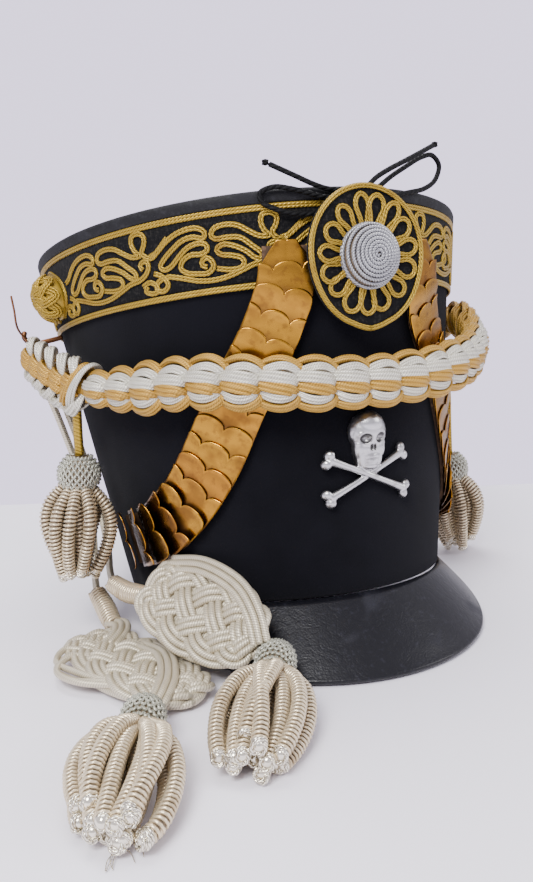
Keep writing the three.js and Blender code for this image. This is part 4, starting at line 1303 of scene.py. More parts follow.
def visor_depth_at(angle, sizes):
    """How deep the visor is, so that its lower edge lies level on the table."""
    lean = math.sin(LEAN_BACK) * math.cos(angle)
    reach = sizes.visor_thickness * math.sin(sizes.visor_droop)
    drop = sizes.visor_thickness * math.cos(sizes.visor_droop)
    level = (RIM_HALF_LENGTH - reach) * lean - (FIT_GAP + drop) * math.cos(LEAN_BACK) + RIM_MIDDLE[2]
    slope = math.sin(sizes.visor_droop) * math.cos(LEAN_BACK) - math.cos(sizes.visor_droop) * lean
    share = 1 - abs(angle / VISOR_HALF_ANGLE) ** VISOR_END_POWER
    return max(level / slope * share, VISOR_END_DEPTH)


def on_visor(angle, depth, above, sizes):
    out = depth * math.cos(sizes.visor_droop) + above * math.sin(sizes.visor_droop)
    drop = depth * math.sin(sizes.visor_droop) - above * math.cos(sizes.visor_droop)
    point = on_cap(angle, 0.0, out)
    point[..., 2] = -FIT_GAP - drop
    return point


class SHAKO_OT_visor(bpy.types.Operator):
    """Cut the drooping leather visor, with its thick rounded edge"""

    bl_idname = "shako.visor"
    bl_label = "Visor"

    def execute(self, context):
        sizes = context.scene.shako_cap
        thick = sizes.visor_thickness
        rows = []
        for angle in np.linspace(-VISOR_HALF_ANGLE, VISOR_HALF_ANGLE, 121):
            deep = visor_depth_at(angle, sizes)
            round_off = min(thick / 2, deep / 3)
            section = [(share * (deep - round_off), 0.0) for share in np.linspace(0, 1, 14)]
            for turn in np.linspace(0, np.pi, 9)[1:-1]:
                section.append(
                    (deep - round_off + round_off * math.sin(turn), -thick / 2 + thick / 2 * math.cos(turn))
                )
            section += [(share * (deep - round_off), -thick) for share in np.linspace(1, 0, 8)]
            row = []
            for depth, above in section:
                lip = 0.25 * MM * math.exp(-(((deep - depth) / (2.2 * MM) - 1.4) ** 2)) if above == 0 else 0
                row.append(on_visor(angle, depth, above - lip, sizes))
            rows.append(row)
        skin = Skin()
        skin.solid(to_row(np.array(rows)), flip=True)
        shined = leather_finish("Visor leather", tuple(colours().leather), 0.36, 0.4, 0.12)
        settle(skin.made("leather_visor", shined), "visor_leather", "visor")
        return {"FINISHED"}


# One length of the band's scrolls: degrees along from its start, and millimetres up from
# the lower piping. Each stroke is one run of braid.
SCROLL = {
    "fan": [
        (0, 19.2), (1.9, 20.4), (4.1, 23.6), (6.9, 26.4), (9.9, 27.7), (12.3, 27.3), (13.6, 25),
        (13.1, 22.9), (10.8, 24), (8.3, 23.3), (5.9, 20.6), (3.3, 16.8), (2.1, 14.1), (2.8, 12.3),
        (4.7, 13.2), (6.7, 16.4), (9.2, 19.9), (11.7, 21), (13.4, 20.1), (13.6, 17.7), (12.1, 16.3),
        (9.7, 16.6), (7.6, 14.6), (6.9, 11.7), (8.1, 9.3), (10.5, 8.2), (13, 7.9), (14.4, 10.2),
        (14.2, 12.9), (13.1, 14.4), (12, 13.2), (12, 11.3), (13, 10.6),
    ],
    "serpent": [
        (34.9, 25.6), (32.4, 21.4), (30.2, 18.4), (28.1, 21.4), (29.1, 25), (29.4, 28.3), (28.2, 30.2),
        (26.4, 29.6), (25.9, 26.4), (26.6, 22.4), (27.6, 20.6), (25.3, 20.8), (23.2, 23.2), (20.7, 26.4),
        (17.7, 27.2), (15.5, 25.9), (14.9, 23.1), (15.9, 21.7), (18.2, 21.8), (21.1, 21), (23.5, 17),
        (25.3, 13.6), (25.5, 11.3), (24, 11.6), (21.9, 15.2), (19.4, 18), (17.1, 19), (15.6, 17.2),
        (16.4, 15), (18.7, 14), (20.9, 12.3), (21.3, 10), (20.4, 8.3), (18.2, 8), (15.1, 9.2),
    ],
    "stem": [
        (3.3, 9.3), (6.6, 7.5), (10.6, 5.1), (13.9, 4.5), (17.2, 5.2), (20.5, 7.1), (23.4, 9.1), (26.2, 10),
        (28.1, 12), (29.1, 14.8), (29, 17.1), (28.1, 17.8), (27, 16.2), (27.5, 14.3),
    ],
    "curl": [(-3.3, 6.9), (-1.3, 8.2), (0.4, 5.6), (0.2, 3.6), (-1.2, 3.1), (-2.8, 4.6), (-2.2, 6.6)],
    "loop": [(0.2, 11.6), (2, 9.8), (3.2, 5.8), (1.9, 3.3), (0.2, 4.2), (0.6, 7.1), (1.9, 8.5), (3.7, 8.9)],
}

# The palmette between two lengths, from its middle: degrees aside, millimetres up
PALMETTE = {
    "outer": [(-5.5, 4.5), (-8.5, 9), (-10, 15), (-9, 21), (-6, 25.5), (-2.5, 28), (0, 22)],
    "middle": [(-3.5, 5), (-6, 10), (-7, 15.5), (-5.5, 20), (-2, 21.5), (0, 16.5)],
    "inner": [(0, 3.5), (-2.6, 8), (-3.4, 12.5), (-1.6, 14.8), (0, 11.5)],
}
for half in PALMETTE.values():
    half += [(-aside, up) for aside, up in half[-2::-1]]
SCROLL_STARTS = (78, 48)
BAND_CLOTH = 0.9 * MM


def braid_on_band(skin, strokes, start, way, side, sizes):
    """Runs of braid laid on the band from a start, in degrees from the front."""
    for stroke in strokes.values():
        flat = np.array(stroke, float)
        flat[:, 0] = (start + way * flat[:, 0]) * math.radians(1) * 0.114
        flat[:, 1] = sizes.band_bottom + flat[:, 1] * MM
        line = smooth(flat, 1.15 * MM)
        angle, height = side * line[:, 0] / 0.114, line[:, 1]
        path = row_on_cap(angle, height, FIT_GAP + BAND_CLOTH + 0.42 * MM)
        skin.braid(path, cap_normals(angle, height), sizes.braid_width, 2, 6)


class SHAKO_OT_band(bpy.types.Operator):
    """Lay the cloth band with its pipings and scrolls of gold braid"""

    bl_idname = "shako.band"
    bl_label = "Band and braid"

    def execute(self, context):
        sizes = context.scene.shako_cap
        far = FIT_GAP + BAND_CLOTH
        low = sizes.band_bottom + 1.2 * MM
        high = sizes.band_top - 1.2 * MM
        outer = [(far, h) for h in np.linspace(low, high, 8)]
        skin = ring_skin([(FIT_GAP, high), (FIT_GAP, low)] + outer, 192)
        settle(skin.made("cloth_band", cloth_finish()), "black_cloth", "band_cloth")
        gold = thread("Gold thread")
        turn = round_turn(400)
        for name, height in (("lower", sizes.band_bottom), ("upper", sizes.band_top)):
            skin = Skin()
            for aside in (-0.66, 0.66):
                path = row_on_cap(turn, height + aside * MM, FIT_GAP + 0.95 * MM)
                skin.tube(path, 0.78 * MM, 8, closed=True, normals=cap_normals(turn, height + 0 * turn))
            settle(skin.made(f"piping_{name}", gold), "gold_cord", f"band_piping_{name}")
        for name, side in SIDES.items():
            skin = Skin()
            braid_on_band(skin, {"fan": SCROLL["fan"]}, 18, -1, side, sizes)
            for start in SCROLL_STARTS:
                braid_on_band(skin, SCROLL, start, -1, side, sizes)
                braid_on_band(skin, SCROLL, 180 - start, 1, side, sizes)
            braid_on_band(skin, PALMETTE, 90, 1, side, sizes)
            if name == "right":
                braid_on_band(skin, PALMETTE, 180, 1, side, sizes)
            settle(skin.made(f"scrolls_{name}", gold), "gold_cord")
        return {"FINISHED"}


# Cockade

COCKADE_RISE = 31.2 * MM
COCKADE_HALF_WIDTH = 29.6 * MM
PLATE_LOW = 6.2 * MM
PLATE_THICKNESS = 2.8 * MM
PAD_RADIUS = 19 * MM
EDGE_CORD = 0.56 * MM
PETAL_CORD = 2.3 * MM

# The tips of the petals, across and up from the cockade's middle, in millimetres
PETAL_TIPS = [
    (-2.7, 27.2), (6.5, 26.6), (16.2, 22.9), (22.2, 14.8), (25.8, 4.5), (24.6, -7), (17.6, -17),
    (6.9, -23.7), (-1.6, -25.4), (-11.3, -23.8), (-19.4, -15.6), (-23.6, -8.6), (-24.6, 1.6), (-20.8, 12.2),
    (-13.6, 21.4),
]


def plate_outline(inset, steps=120):
    """The plate's edge: a round top, and sides that run down to a point."""
    turn = round_turn(steps) - np.pi / 2
    down = (1 - np.sin(turn)) / 2
    squeeze = 1 - 0.09 * down ** 2 * np.cos(turn) ** 2
    from_foot = np.minimum(turn + np.pi / 2, 1.5 * np.pi - turn)
    point = 1.1 * MM * np.clip(1 - from_foot / 0.3, 0, 1)
    radius = np.hypot(COCKADE_HALF_WIDTH * np.cos(turn) * squeeze, COCKADE_RISE * np.sin(turn))
    radius = radius - inset + point
    return radius * np.cos(turn), radius * np.sin(turn)


class SHAKO_OT_cockade(bpy.types.Operator):
    """Make the cockade: cloth plate, gold edge, looped petals and the wound silver boss"""

    bl_idname = "shako.cockade"
    bl_label = "Cockade"

    def execute(self, context):
        sizes = context.scene.shako_cap
        height = sizes.cockade_height
        normal = cockade_normal()
        face = PLATE_LOW + PLATE_THICKNESS
        self.plate(height)
        gold = thread("Gold thread")
        skin = Skin()
        for inset, lift in ((0.3, 0.35), (0.6, 1.0), (1.6, 0.75)):
            x, y = plate_outline(inset * MM, 160)
            path = on_cockade(x, y, face + lift * MM, height)
            skin.tube(path, EDGE_CORD, 8, closed=True, normals=normal)
        settle(skin.made("cockade_edge", gold), "gold_cord", "cockade_edge_cord")
        self.petals(height, face, normal, gold)
        self.boss(height, face, sizes)
        return {"FINISHED"}

    def plate(self, height):
        """The stiff plate with the pad that holds it off the felt."""
        rows = []
        for inset, lift in (
            (8, 0), (1.2, 0), (0.2, 0.5), (0, 1.2), (0.1, 2.1), (0.8, 2.7), (3, 2.8), (12, 2.85), (22, 2.9),
        ):
            x, y = plate_outline(inset * MM, 96)
            rows.append(on_cockade(x, y, PLATE_LOW + lift * MM, height))
        skin = Skin()
        skin.solid(rows)
        lifts = np.linspace(PIPING_DEPTH + 2 * FIT_GAP, PLATE_LOW + 0.6 * MM, 3)
        skin.tube(on_cockade(0.0, 0.0, lifts, height), PAD_RADIUS * 0.97, 40)
        settle(skin.made("cockade_cloth", cloth_finish()), "black_cloth", "cockade_plate")

    def petals(self, height, face, normal, gold):
        """Loops of two-ribbed cord, each over its neighbour on one side and under it on the other."""
        skin = Skin()
        start = 11.2 * MM
        for k, tip in enumerate(PETAL_TIPS):
            far = np.array(tip) * MM
            out = unit(far)
            aside = np.array([-out[1], out[0]])
            long = np.linalg.norm(far) - start
            wide = (3.9 if k % 2 else 3.4) * MM
            shape = [
                (0.0, -0.32), (0.35, -0.62), (0.68, -1.0), (0.9, -0.72), (1.0, 0.0), (0.9, 0.72),
                (0.68, 1.0), (0.35, 0.62), (0.0, 0.32),
            ]
            points = []
            for share, swing in shape:
                flat = out * (start + share * long - 0.5 * MM * share) + aside * swing * wide
                lift = face + 0.62 * MM + 0.75 * MM * (swing > 0) * (1 - share * 0.4)
                points.append((flat[0], flat[1], lift))
            line = smooth(points, 1.0 * MM)
            skin.braid(on_cockade(*line.T, height), normal, PETAL_CORD, 2, 6)
        settle(skin.made("petal_loops", gold), "gold_cord", "cockade_petals")

    def boss(self, height, face, sizes):
        """A dome of silver cord wound in turns from the edge to a small hollow."""
        radius, turns = sizes.boss_radius, sizes.boss_turns
        base = face + 2.2 * MM
        rise = 7.4 * MM
        turn = np.linspace(0, 2 * np.pi * turns, int(110 * turns / 2))
        share = 1 - turn / turn[-1] * 0.965
        hollow = 1.1 * MM * np.exp(-((share / 0.12) ** 2))
        lift = base + rise * np.sqrt(np.maximum(1 - share ** 2.6, 0)) - hollow

        def at(angle, out, up):
            return on_cockade(out * np.cos(angle), out * np.sin(angle), up, height)

        path = even(at(turn, radius * share, lift), 0.9 * MM)
        cord = wound("boss_cord", [path], thread("Old silver thread"), 2, 2.6 * MM, 0.44 * MM, 0.5 * MM)
        skin = Skin()
        ring = round_turn(64)
        for out, up in ((radius, base - 1.2 * MM), (radius * 1.005, base)):
            skin.tube(at(ring, out, up), 0.85 * MM, 8, closed=True, normals=cockade_normal())
        rows = [at(ring, radius * 0.96, face + 0.4 * MM)]
        for share in (1.0, 0.97, 0.9, 0.75, 0.55, 0.3, 0.1):
            up = (rise - 0.7 * MM) * math.sqrt(max(1 - share ** 2.6, 0))
            rows.append(at(ring, (radius - 0.5 * MM) * share, base - 0.8 * MM + up))
        # Painted shade: the dome under the wound cord is dark, so the gaps between its turns look shaded.
        skin.solid(rows, slot=1)
        core = skin.made("boss_rings_and_shade_core", thread("Old silver thread"), thread("Painted shade core"))
        settle(merged("wound_boss", cord, core), "silver_cord", "cockade_boss")


# Badge

BADGE_HEIGHT = 61 * MM
SKULL_RISE = 11.5
BONE_TILT = math.radians(24)
BONE_DROP = 6.5
BONE_HALF_LENGTH = 21.5

# The badge's hollows: centre and radii, and how much painted shade darkens them. Those beside the middle
# come twice.
BADGE_HOLLOWS = [
    ((side * x, y, z), radii, dark)
    for (x, y, z), radii, dark in [
        ((4.0, -1.2, 8.6), (3.0, 2.5, 3.9), 0.65), ((0.85, -5.2, 8.2), (0.9, 1.6, 3.0), 0.65),
        ((0, -10.5, 7.6), (4.4, 0.35, 2.9), 0.35), ((9.6, 1.5, 5.6), (1.4, 2.8, 2.4), 0.2),
    ]
    for side in ((-1, 1) if x else (1,))
]
CAST_GRAIN = 0.3
CAST_FINE_GRAIN = 0.34


def modify(piece, kind, **settings):
    modifier = piece.modifiers.new(kind, kind)
    for name, value in settings.items():
        setattr(modifier, name, value)


class SHAKO_OT_badge(bpy.types.Operator):
    """Cast the skull over two crossed bones"""

    bl_idname = "shako.badge"
    bl_label = "Badge"

    def execute(self, context):
        relief = self.solids().made("badge_cast")
        modify(relief, "REMESH", mode="VOXEL", voxel_size=CAST_GRAIN)
        helpers = self.hollows()
        for helper in helpers:
            modify(relief, "BOOLEAN", object=helper, operation="DIFFERENCE", solver="EXACT")
        modify(relief, "REMESH", mode="VOXEL", voxel_size=CAST_FINE_GRAIN)
        modify(relief, "SMOOTH", factor=0.5, iterations=3)
        plain(relief)
        for helper in helpers:
            bpy.data.objects.remove(helper)
        self.bend(relief)
        relief.data.materials.clear()
        relief.data.materials.append(badge_finish())
        for face in relief.data.polygons:
            face.use_smooth = True
        settle(relief, "silver", "badge")
        return {"FINISHED"}

    def solids(self):
        """Balls and rods of the skull and bones: x across, y up, z out, in millimetres."""
        skin = Skin()
        up = SKULL_RISE
        skin.ball((0, up + 2.2, 1.6), (9.5, 9.3, 7.2), 16, 24)
        skin.ball((0, up + 5.2, 2.6), (7.6, 6.4, 6.6), 14, 20)
        skin.ball((0, up - 2.0, 2.2), (7.0, 5.2, 5.6), 12, 20)
        for side in (-1, 1):
            skin.ball((side * 5.9, up - 3.4, 3.4), (2.3, 1.7, 2.6), 8, 12)
            skin.ball((side * 4.0, up + 1.5, 6.4), (3.3, 0.95, 1.5), 8, 12)
            skin.ball((side * 7.2, up - 0.4, 2.6), (1.3, 3.0, 3.0), 8, 12)
            skin.ball((side * 4.6, up - 8.6, 1.8), (2.4, 6.2, 3.6), 8, 12)
            skin.ball((side * 5.5, up - 5.2, 2.4), (2.7, 5.4, 3.8), 8, 12)
        skin.ball((0, up - 1.2, 7.1), (1.15, 2.4, 1.4), 8, 12)
        skin.ball((0, up - 5.6, 2.4), (6.7, 5.6, 4.8), 10, 16)
        skin.ball((0, up - 9.0, 2.6), (5.4, 4.6, 4.5), 10, 16)
        skin.ball((0, up - 13.6, 2.2), (4.5, 2.4, 4.2), 10, 16)
        for tooth in range(-3, 4):
            across = tooth * 1.15
            out = 6.4 - 0.16 * tooth ** 2
            skin.ball((across, up - 9.3, out), (0.62, 1.3, 0.95), 7, 8)
            skin.ball((across * 0.9, up - 11.7, out - 0.5), (0.55, 1.2, 0.85), 7, 8)
        for tilt in (BONE_TILT, -BONE_TILT):
            along = np.array([math.cos(tilt), math.sin(tilt), 0])
            across = np.array([-math.sin(tilt), math.cos(tilt), 0])
            middle = np.array([0, -BONE_DROP, 1.5 if tilt > 0 else 2.4])
            shares = np.linspace(-1, 1, 21)
            path = middle + shares[:, None] * BONE_HALF_LENGTH * along
            skin.tube(path, 1.55 + 0.75 * np.abs(shares) ** 3, 12)
            for end in (-1, 1):
                for way in (-1, 1):
                    knob = middle + end * BONE_HALF_LENGTH * along + way * 2.15 * across
                    skin.ball(knob + along * end * 0.5, (2.5, 2.5, 2.3), 8, 12)
        return skin

    def hollows(self):
        """Helpers that cut the eye sockets, the nose, the temples and the line between the teeth."""
        helpers = []
        for centre, radii, _ in BADGE_HOLLOWS:
            skin = Skin()
            skin.ball(np.array(centre) + [0, SKULL_RISE, 0], radii, 12, 18)
            helper = skin.made("badge_hollow")
            helper.hide_render = True
            helpers.append(helper)
        return helpers

    def bend(self, relief):
        """The flat relief laid round the front of the cap, its back flattened on the felt."""
        mesh = relief.data
        points = pulled(mesh.vertices, "co", 3)
        # Painted shade: points in and near the hollows go dark, by how deep in them they lie.
        dark = np.zeros(len(points))
        for centre, radii, darkest in BADGE_HOLLOWS:
            level = np.sum(((points - centre - [0, SKULL_RISE, 0]) / radii) ** 2, -1)
            dark = np.maximum(dark, np.clip((1.4 - level) * 2.2, 0, 1) * darkest)
        wind = mesh.attributes.new("wind", "FLOAT_VECTOR", "POINT")
        wind.data.foreach_set("vector", np.stack([dark, 0 * dark, 0 * dark], -1).ravel())
        x, y, z = points.T * MM
        z = np.maximum(z, 0) + FIT_GAP
        height = BADGE_HEIGHT + y
        width = cap_half_sizes(height / CAP_HEIGHT)[1] + z
        placed = row_on_cap(-np.arcsin(x / width), height, z)
        mesh.vertices.foreach_set("co", placed.ravel())
        mesh.update()


# Chin straps

# The chin strap's middle line: degrees from the front, and shares of the cap's height
STRAP_LINE = [
    (17.5, 0.865), (18.2, 0.78), (21.8, 0.69), (25.8, 0.618), (33.6, 0.505), (41.6, 0.384), (49.4, 0.295),
    (57.5, 0.232), (67, 0.187), (75, 0.17), (81, 0.162),
]
STRAP_WIDTH = 29 * MM
STRAP_TOP_WIDTH = 23 * MM
STRAP_LEATHER = 1.5 * MM
SCALE_THICKNESS = 0.5 * MM
SCALE_LIFT = 1.3 * MM
SCALLOP = 4.0 * MM
FLARED_SCALES = 5
FLARE_LIFT = 7.0 * MM


class StrapCourse:
    """The way the chin strap takes over the cap, as places along and across it."""

    def __init__(self, side):
        self.side = side
        table = [(math.radians(angle) * 0.1, height * CAP_HEIGHT, 0) for angle, height in STRAP_LINE]
        line = smooth(table, 0.5 * MM)
        self.turns = np.stack([line[:, 0] / 0.1, line[:, 1]], -1)
        self.places = on_cap(*self.turns.T)
        self.runs = runs_along(self.places)
        self.length = self.runs[-1]

    def at(self, run, x, rise):
        """A point so far along the strap, across from its middle and up from the felt."""
        run, x, rise = np.broadcast_arrays(run, x, rise)
        inside = np.clip(run, 0, self.length)
        centre = read_off(inside, self.runs, self.places)
        angle, height = np.moveaxis(read_off(inside, self.runs, self.turns), -1, 0)
        behind, ahead = (
            read_off(np.clip(inside + step, 0, self.length), self.runs, self.places)
            for step in (-2 * MM, 2 * MM)
        )
        along = unit(ahead - behind)
        centre = centre + along * (run - inside)[..., None]
        across = unit(np.cross(outward_at(angle), along))
        band_bottom = bpy.context.scene.shako_cap.band_bottom
        share = np.clip((height - (band_bottom - 16 * MM)) / (11 * MM), 0, 1)
        out = FIT_GAP + share ** 2 * (3 - 2 * share) * (PIPING_DEPTH + FIT_GAP)
        angle_here, height_here = nearest_on_cap(centre + across * x[..., None])
        point = on_cap(angle_here, height_here, out + rise)
        point[..., 0] *= self.side
        return to_row(point)

    def width_at(self, run):
        return STRAP_TOP_WIDTH + (STRAP_WIDTH - STRAP_TOP_WIDTH) * np.minimum(run / self.length * 1.8, 1)


class SHAKO_OT_chin_straps(bpy.types.Operator):
    """Set the brass scales on both chin straps, their scalloped edges up"""

    bl_idname = "shako.chin_straps"
    bl_label = "Chin scales"

    def execute(self, context):
        count = context.scene.shako_cap.scale_count
        for name, side in SIDES.items():
            course = StrapCourse(side)
            draw = random.Random(f"scales {name}")
            skin = Skin()
            pitch = course.length / count
            for k in range(count):
                flare = max(0.0, k - (count - 1 - FLARED_SCALES)) / FLARED_SCALES
                self.scale(skin, course, k, pitch, flare, side, draw)
            settle(skin.made(f"brass_scales_{name}", brass_finish()), "brass", f"chin_scales_{name}")
            dress(
                frame["nodes"][f"chin_strap_{name}"],
                leather_finish("Strap leather", (0.05, 0.028, 0.015), 0.7, 0.5)
            )
        return {"FINISHED"}

    def scale(self, skin, course, k, pitch, flare, side, draw):
        """One row of scales, from its scalloped upper edge to its hidden lower one.

        The rows are staggered: two scales in one, then one scale with a half on each side."""
        across = np.linspace(-0.5, 0.5, 33)
        down = np.array([0, 0.04, 0.12, 0.24, 0.38, 0.52, 0.64, 0.78, 1.0])
        lobe = ((across + 0.5) * 2 + 0.5 * (k % 2)) % 1.0
        round_edge = np.sqrt(np.maximum(1 - (2 * lobe - 1) ** 2, 0))
        start = k * pitch - SCALLOP * round_edge + draw.uniform(-0.9, 0.9) * MM * across
        taper = np.ones_like(down)
        if k == 0:
            start = 0 * across - 2 * MM
            taper = 0.35 + 0.65 * np.minimum(down / 0.64, 1)
        end = (k + 1.42) * pitch
        run = start[None] + (end - start[None]) * down[:, None]
        width = (course.width_at(np.maximum(run, 0)) + 0.7 * MM) * taper[:, None]
        fall = 1 - down[:, None]
        lift = SCALE_LIFT * fall + flare * FLARE_LIFT * fall ** 1.3 + 0.3 * MM * round_edge * fall
        low = STRAP_LEATHER + FIT_GAP + lift
        top = course.at(run, across * width, low + SCALE_THICKNESS)
        bottom = course.at(run, across * width, low)
        tarnish = draw.uniform(0.05, 0.55)
        # The dark share down the scale: a band of tarnish just below the rim, then painted shade at and
        # under the edge of the next row.
        dark = np.interp(
            down, [0, 0.04, 0.12, 0.38, 0.52, 0.7], [0.0, 0.0, tarnish, 0.3 * tarnish, 0.35, 0.9]
        )
        tint = draw.uniform(0, 1) ** 2
        wind = np.stack(np.broadcast_arrays(dark[:, None], tint, 0 * across[None]), -1)
        way = int(-side)
        skin.slab(top[:, ::way], bottom[:, ::way], wind)


def dress(node, finish):
    """A better finish for a solid that stays in view."""
    for slot in node.material_slots:
        slot.link = "OBJECT"
        slot.material = finish


# Rosettes and hooks

ROSETTE_HEIGHT = 158 * MM
ROSETTE_ANGLE = math.radians(86)
ROSETTE_HALF_HEIGHT = 12.3 * MM
ROSETTE_HALF_WIDTH = 11.5 * MM
ROSETTE_RISE = 13.5 * MM
ROSETTE_ROUND = 121 * MM
HOOK_ANGLE = math.radians(94)
HOOK_HEIGHT = 140 * MM
HOOK_WIRE = [(-135.2, 19.6, 173.8), (-134.3, 19.9, 166.8), (-133.4, 20, 157.7), (-128.6, 24, 150.6)]


def on_rosette(across, up, rise, side):
    point = on_cap(
        ROSETTE_ANGLE + across / ROSETTE_ROUND, ROSETTE_HEIGHT + up, BAND_CLOTH + 2 * FIT_GAP + rise
    )
    point[..., 0] *= side
    return to_row(point)


class SHAKO_OT_rosettes(bpy.types.Operator):
    """Weave the gold side rosettes and bend the hooks under them"""

    bl_idname = "shako.rosettes"
    bl_label = "Side rosettes and hooks"

    def execute(self, context):
        gold = thread("Gold thread")
        for name, side in SIDES.items():
            skin = Skin()
            self.dome(skin, side)
            self.weave(skin, side)
            settle(skin.made(f"woven_rosette_{name}", gold), "gold_cord", f"side_rosette_{name}")
            self.hook(name, side)
        return {"FINISHED"}

    def dome(self, skin, side):
        rows = []
        for share in (0.0, 0.12, 0.3, 0.5, 0.7, 0.86, 0.95, 0.99):
            spread = math.sqrt(max(1 - share ** 2, 0.0)) * 0.9
            across, up, _ = oval(round_turn(40), ROSETTE_HALF_WIDTH * spread, ROSETTE_HALF_HEIGHT * spread).T
            rows.append(on_rosette(across, up, (ROSETTE_RISE - 1.8 * MM) * share, side))
        skin.solid(rows, flip=side > 0)

    def weave(self, skin, side):
        """One long band that goes three times round the dome, over and under itself."""
        leads, bights = 3, 8
        turn = np.linspace(0, 2 * np.pi * leads, 700, endpoint=False)
        phase = bights * turn / leads
        away = 0.53 + 0.42 * np.cos(phase)
        rise = (ROSETTE_RISE - 2.0 * MM) * np.sqrt(np.maximum(1 - away ** 2.4, 0))
        rise = rise + 0.75 * MM * np.sin(2 * phase) + 0.5 * MM
        across = ROSETTE_HALF_WIDTH * away * np.cos(turn)
        up = ROSETTE_HALF_HEIGHT * away * np.sin(turn)
        path = even(on_rosette(across, up, np.maximum(rise, 0.9 * MM), side), 1.1 * MM, closed=True)
        middle = on_rosette(0.0, 0.0, -2 * MM, side)
        skin.braid(path, unit(path - middle), 4.3 * MM, 3, 6, closed=True)

    def hook(self, name, side):
        skin = Skin()
        places = [(1.5, 0), (9.45, -1.5), (17.85, -2.5), (21, 1), (20, 4)]
        rows = [on_cap(HOOK_ANGLE, HOOK_HEIGHT + rise * MM, out * MM) * [side, 1, 1] for out, rise in places]
        skin.tube(to_row(smooth(rows, 0.8 * MM)), 1.35 * MM, 12)
        if name == "right":
            skin.tube(smooth(on_table(HOOK_WIRE), 0.8 * MM), 0.55 * MM, 8)
        settle(skin.made(f"brass_hook_{name}", wire_finish()), "brass", f"side_hook_{name}")


# Festoon

# The festoon's middle line: degrees, share of the cap's height, and millimetres out from the felt
FESTOON_LINE = [
    (-93, 0.7, 17.6), (-84, 0.722, 16.2), (-75, 0.722, 16), (-66, 0.692, 16), (-57, 0.647, 16),
    (-47, 0.604, 14.5), (-38, 0.575, 13.2), (-29, 0.56, 12.8), (-17, 0.537, 11.5), (0, 0.527, 9.6),
    (17, 0.537, 11.5), (29, 0.552, 12.8), (40, 0.566, 12), (52, 0.569, 9.6), (62, 0.576, 9.6),
    (70, 0.588, 11), (77, 0.606, 13.5), (84, 0.65, 17), (90, 0.69, 19),
]

# The runs of cord in one link of the plait: shares of a link along, of the half height up and
# of the half depth out. Each has its colour and the thickness of its three cords in millimetres.
LINK = [
    ("gold", 1.25, [
        (-0.28, 0.30, 0.20), (-0.14, 0.70, 0.42), (0.16, 0.95, 0.50), (0.50, 1.0, 0.36),
        (0.84, 0.84, 0.12), (1.10, 0.50, -0.15),
    ]),
    ("silver", 1.3, [
        (-0.16, 0.10, 0.30), (-0.04, 0.43, 0.66), (0.24, 0.61, 0.82), (0.58, 0.56, 0.68),
        (0.88, 0.35, 0.38), (1.04, 0.12, 0.10),
    ]),
    ("silver", 1.6, [
        (-0.10, 0.02, 0.10), (-0.03, 0.04, 0.72), (0.10, 0.08, 1.04), (0.45, 0.16, 1.10),
        (0.80, 0.22, 0.78), (1.08, 0.24, 0.20),
    ]),
    ("gold", 1.65, [
        (-0.04, -0.42, 0.06), (0.03, -0.39, 0.68), (0.16, -0.34, 1.0), (0.50, -0.24, 1.02),
        (0.82, -0.12, 0.70), (1.10, 0.02, 0.15),
    ]),
    ("silver", 1.25, [
        (-0.06, -0.28, 0.20), (0.06, -0.55, 0.58), (0.34, -0.69, 0.72), (0.66, -0.61, 0.58),
        (0.92, -0.38, 0.30), (1.04, -0.18, 0.05),
    ]),
    ("gold", 1.3, [
        (-0.24, -0.34, 0.10), (-0.10, -0.74, 0.36), (0.20, -1.0, 0.40), (0.56, -1.0, 0.26),
        (0.88, -0.82, 0.05), (1.12, -0.48, -0.20),
    ]),
    ("gold", 1.6, [
        (0.0, 0.80, 0.1), (0.3, 0.60, -0.6), (0.6, 0.05, -0.86), (0.9, -0.60, -0.6), (1.1, -0.80, 0.0),
    ]),
]

# Past the binding a gold chain runs up to the hook, with silver loops on both sides of it
END_LINK = [
    ("gold", 1.5, [
        (-0.20, 0.02, 0.10), (-0.05, 0.10, 0.80), (0.30, 0.20, 1.04), (0.75, 0.26, 0.86),
        (1.20, 0.24, 0.20),
    ]),
    ("gold", 1.5, [
        (-0.15, -0.38, 0.06), (0.05, -0.30, 0.76), (0.40, -0.20, 0.98), (0.85, -0.10, 0.80),
        (1.25, 0.0, 0.15),
    ]),
    ("silver", 1.5, [
        (0.10, 0.16, 0.50), (0.12, 0.66, 0.74), (0.40, 1.04, 0.46), (0.66, 0.92, -0.10),
        (0.70, 0.30, -0.50),
    ]),
    ("silver", 1.5, [
        (-0.35, -0.24, 0.30), (-0.20, -0.66, 0.66), (0.25, -0.96, 0.56), (0.75, -0.92, 0.30),
        (1.20, -0.55, 0.0),
    ]),
    ("gold", 1.5, [(0.0, 0.70, 0.0), (0.4, 0.40, -0.7), (0.8, -0.40, -0.7), (1.0, -0.75, 0.0)]),
]
JOINT_SHARE = 0.885
FESTOON_PAST_HOOK = 5 * MM
END_LINKS = 5


class FestoonCourse:
    """The festoon's middle line, with which way is across it and which way is out."""

    def __init__(self):
        rows = [
            on_cap(math.radians(angle), share * CAP_HEIGHT, out * MM) for angle, share, out in FESTOON_LINE
        ]
        self.line = smooth(rows, 1 * MM)
        self.along = tangents(self.line)
        level = outward_at(nearest_on_cap(self.line)[0])
        up = -unit(np.cross(level, self.along))
        out = unit(np.cross(up, self.along))
        self.out = out * np.sign(np.sum(out * level, -1, keepdims=True))
        self.up = up * np.sign(up[:, 2:3])
        self.runs = runs_along(self.line)
        self.length = self.runs[-1]

    def at(self, run, up, out):
        kept = np.clip(run, 0, self.length)
        middle, upward, outward, along = (
            read_off(kept, self.runs, values) for values in (self.line, self.up, self.out, self.along)
        )
        point = middle + upward * np.asarray(up)[..., None] + outward * np.asarray(out)[..., None]
        return to_row(point + along * (run - kept)[..., None])


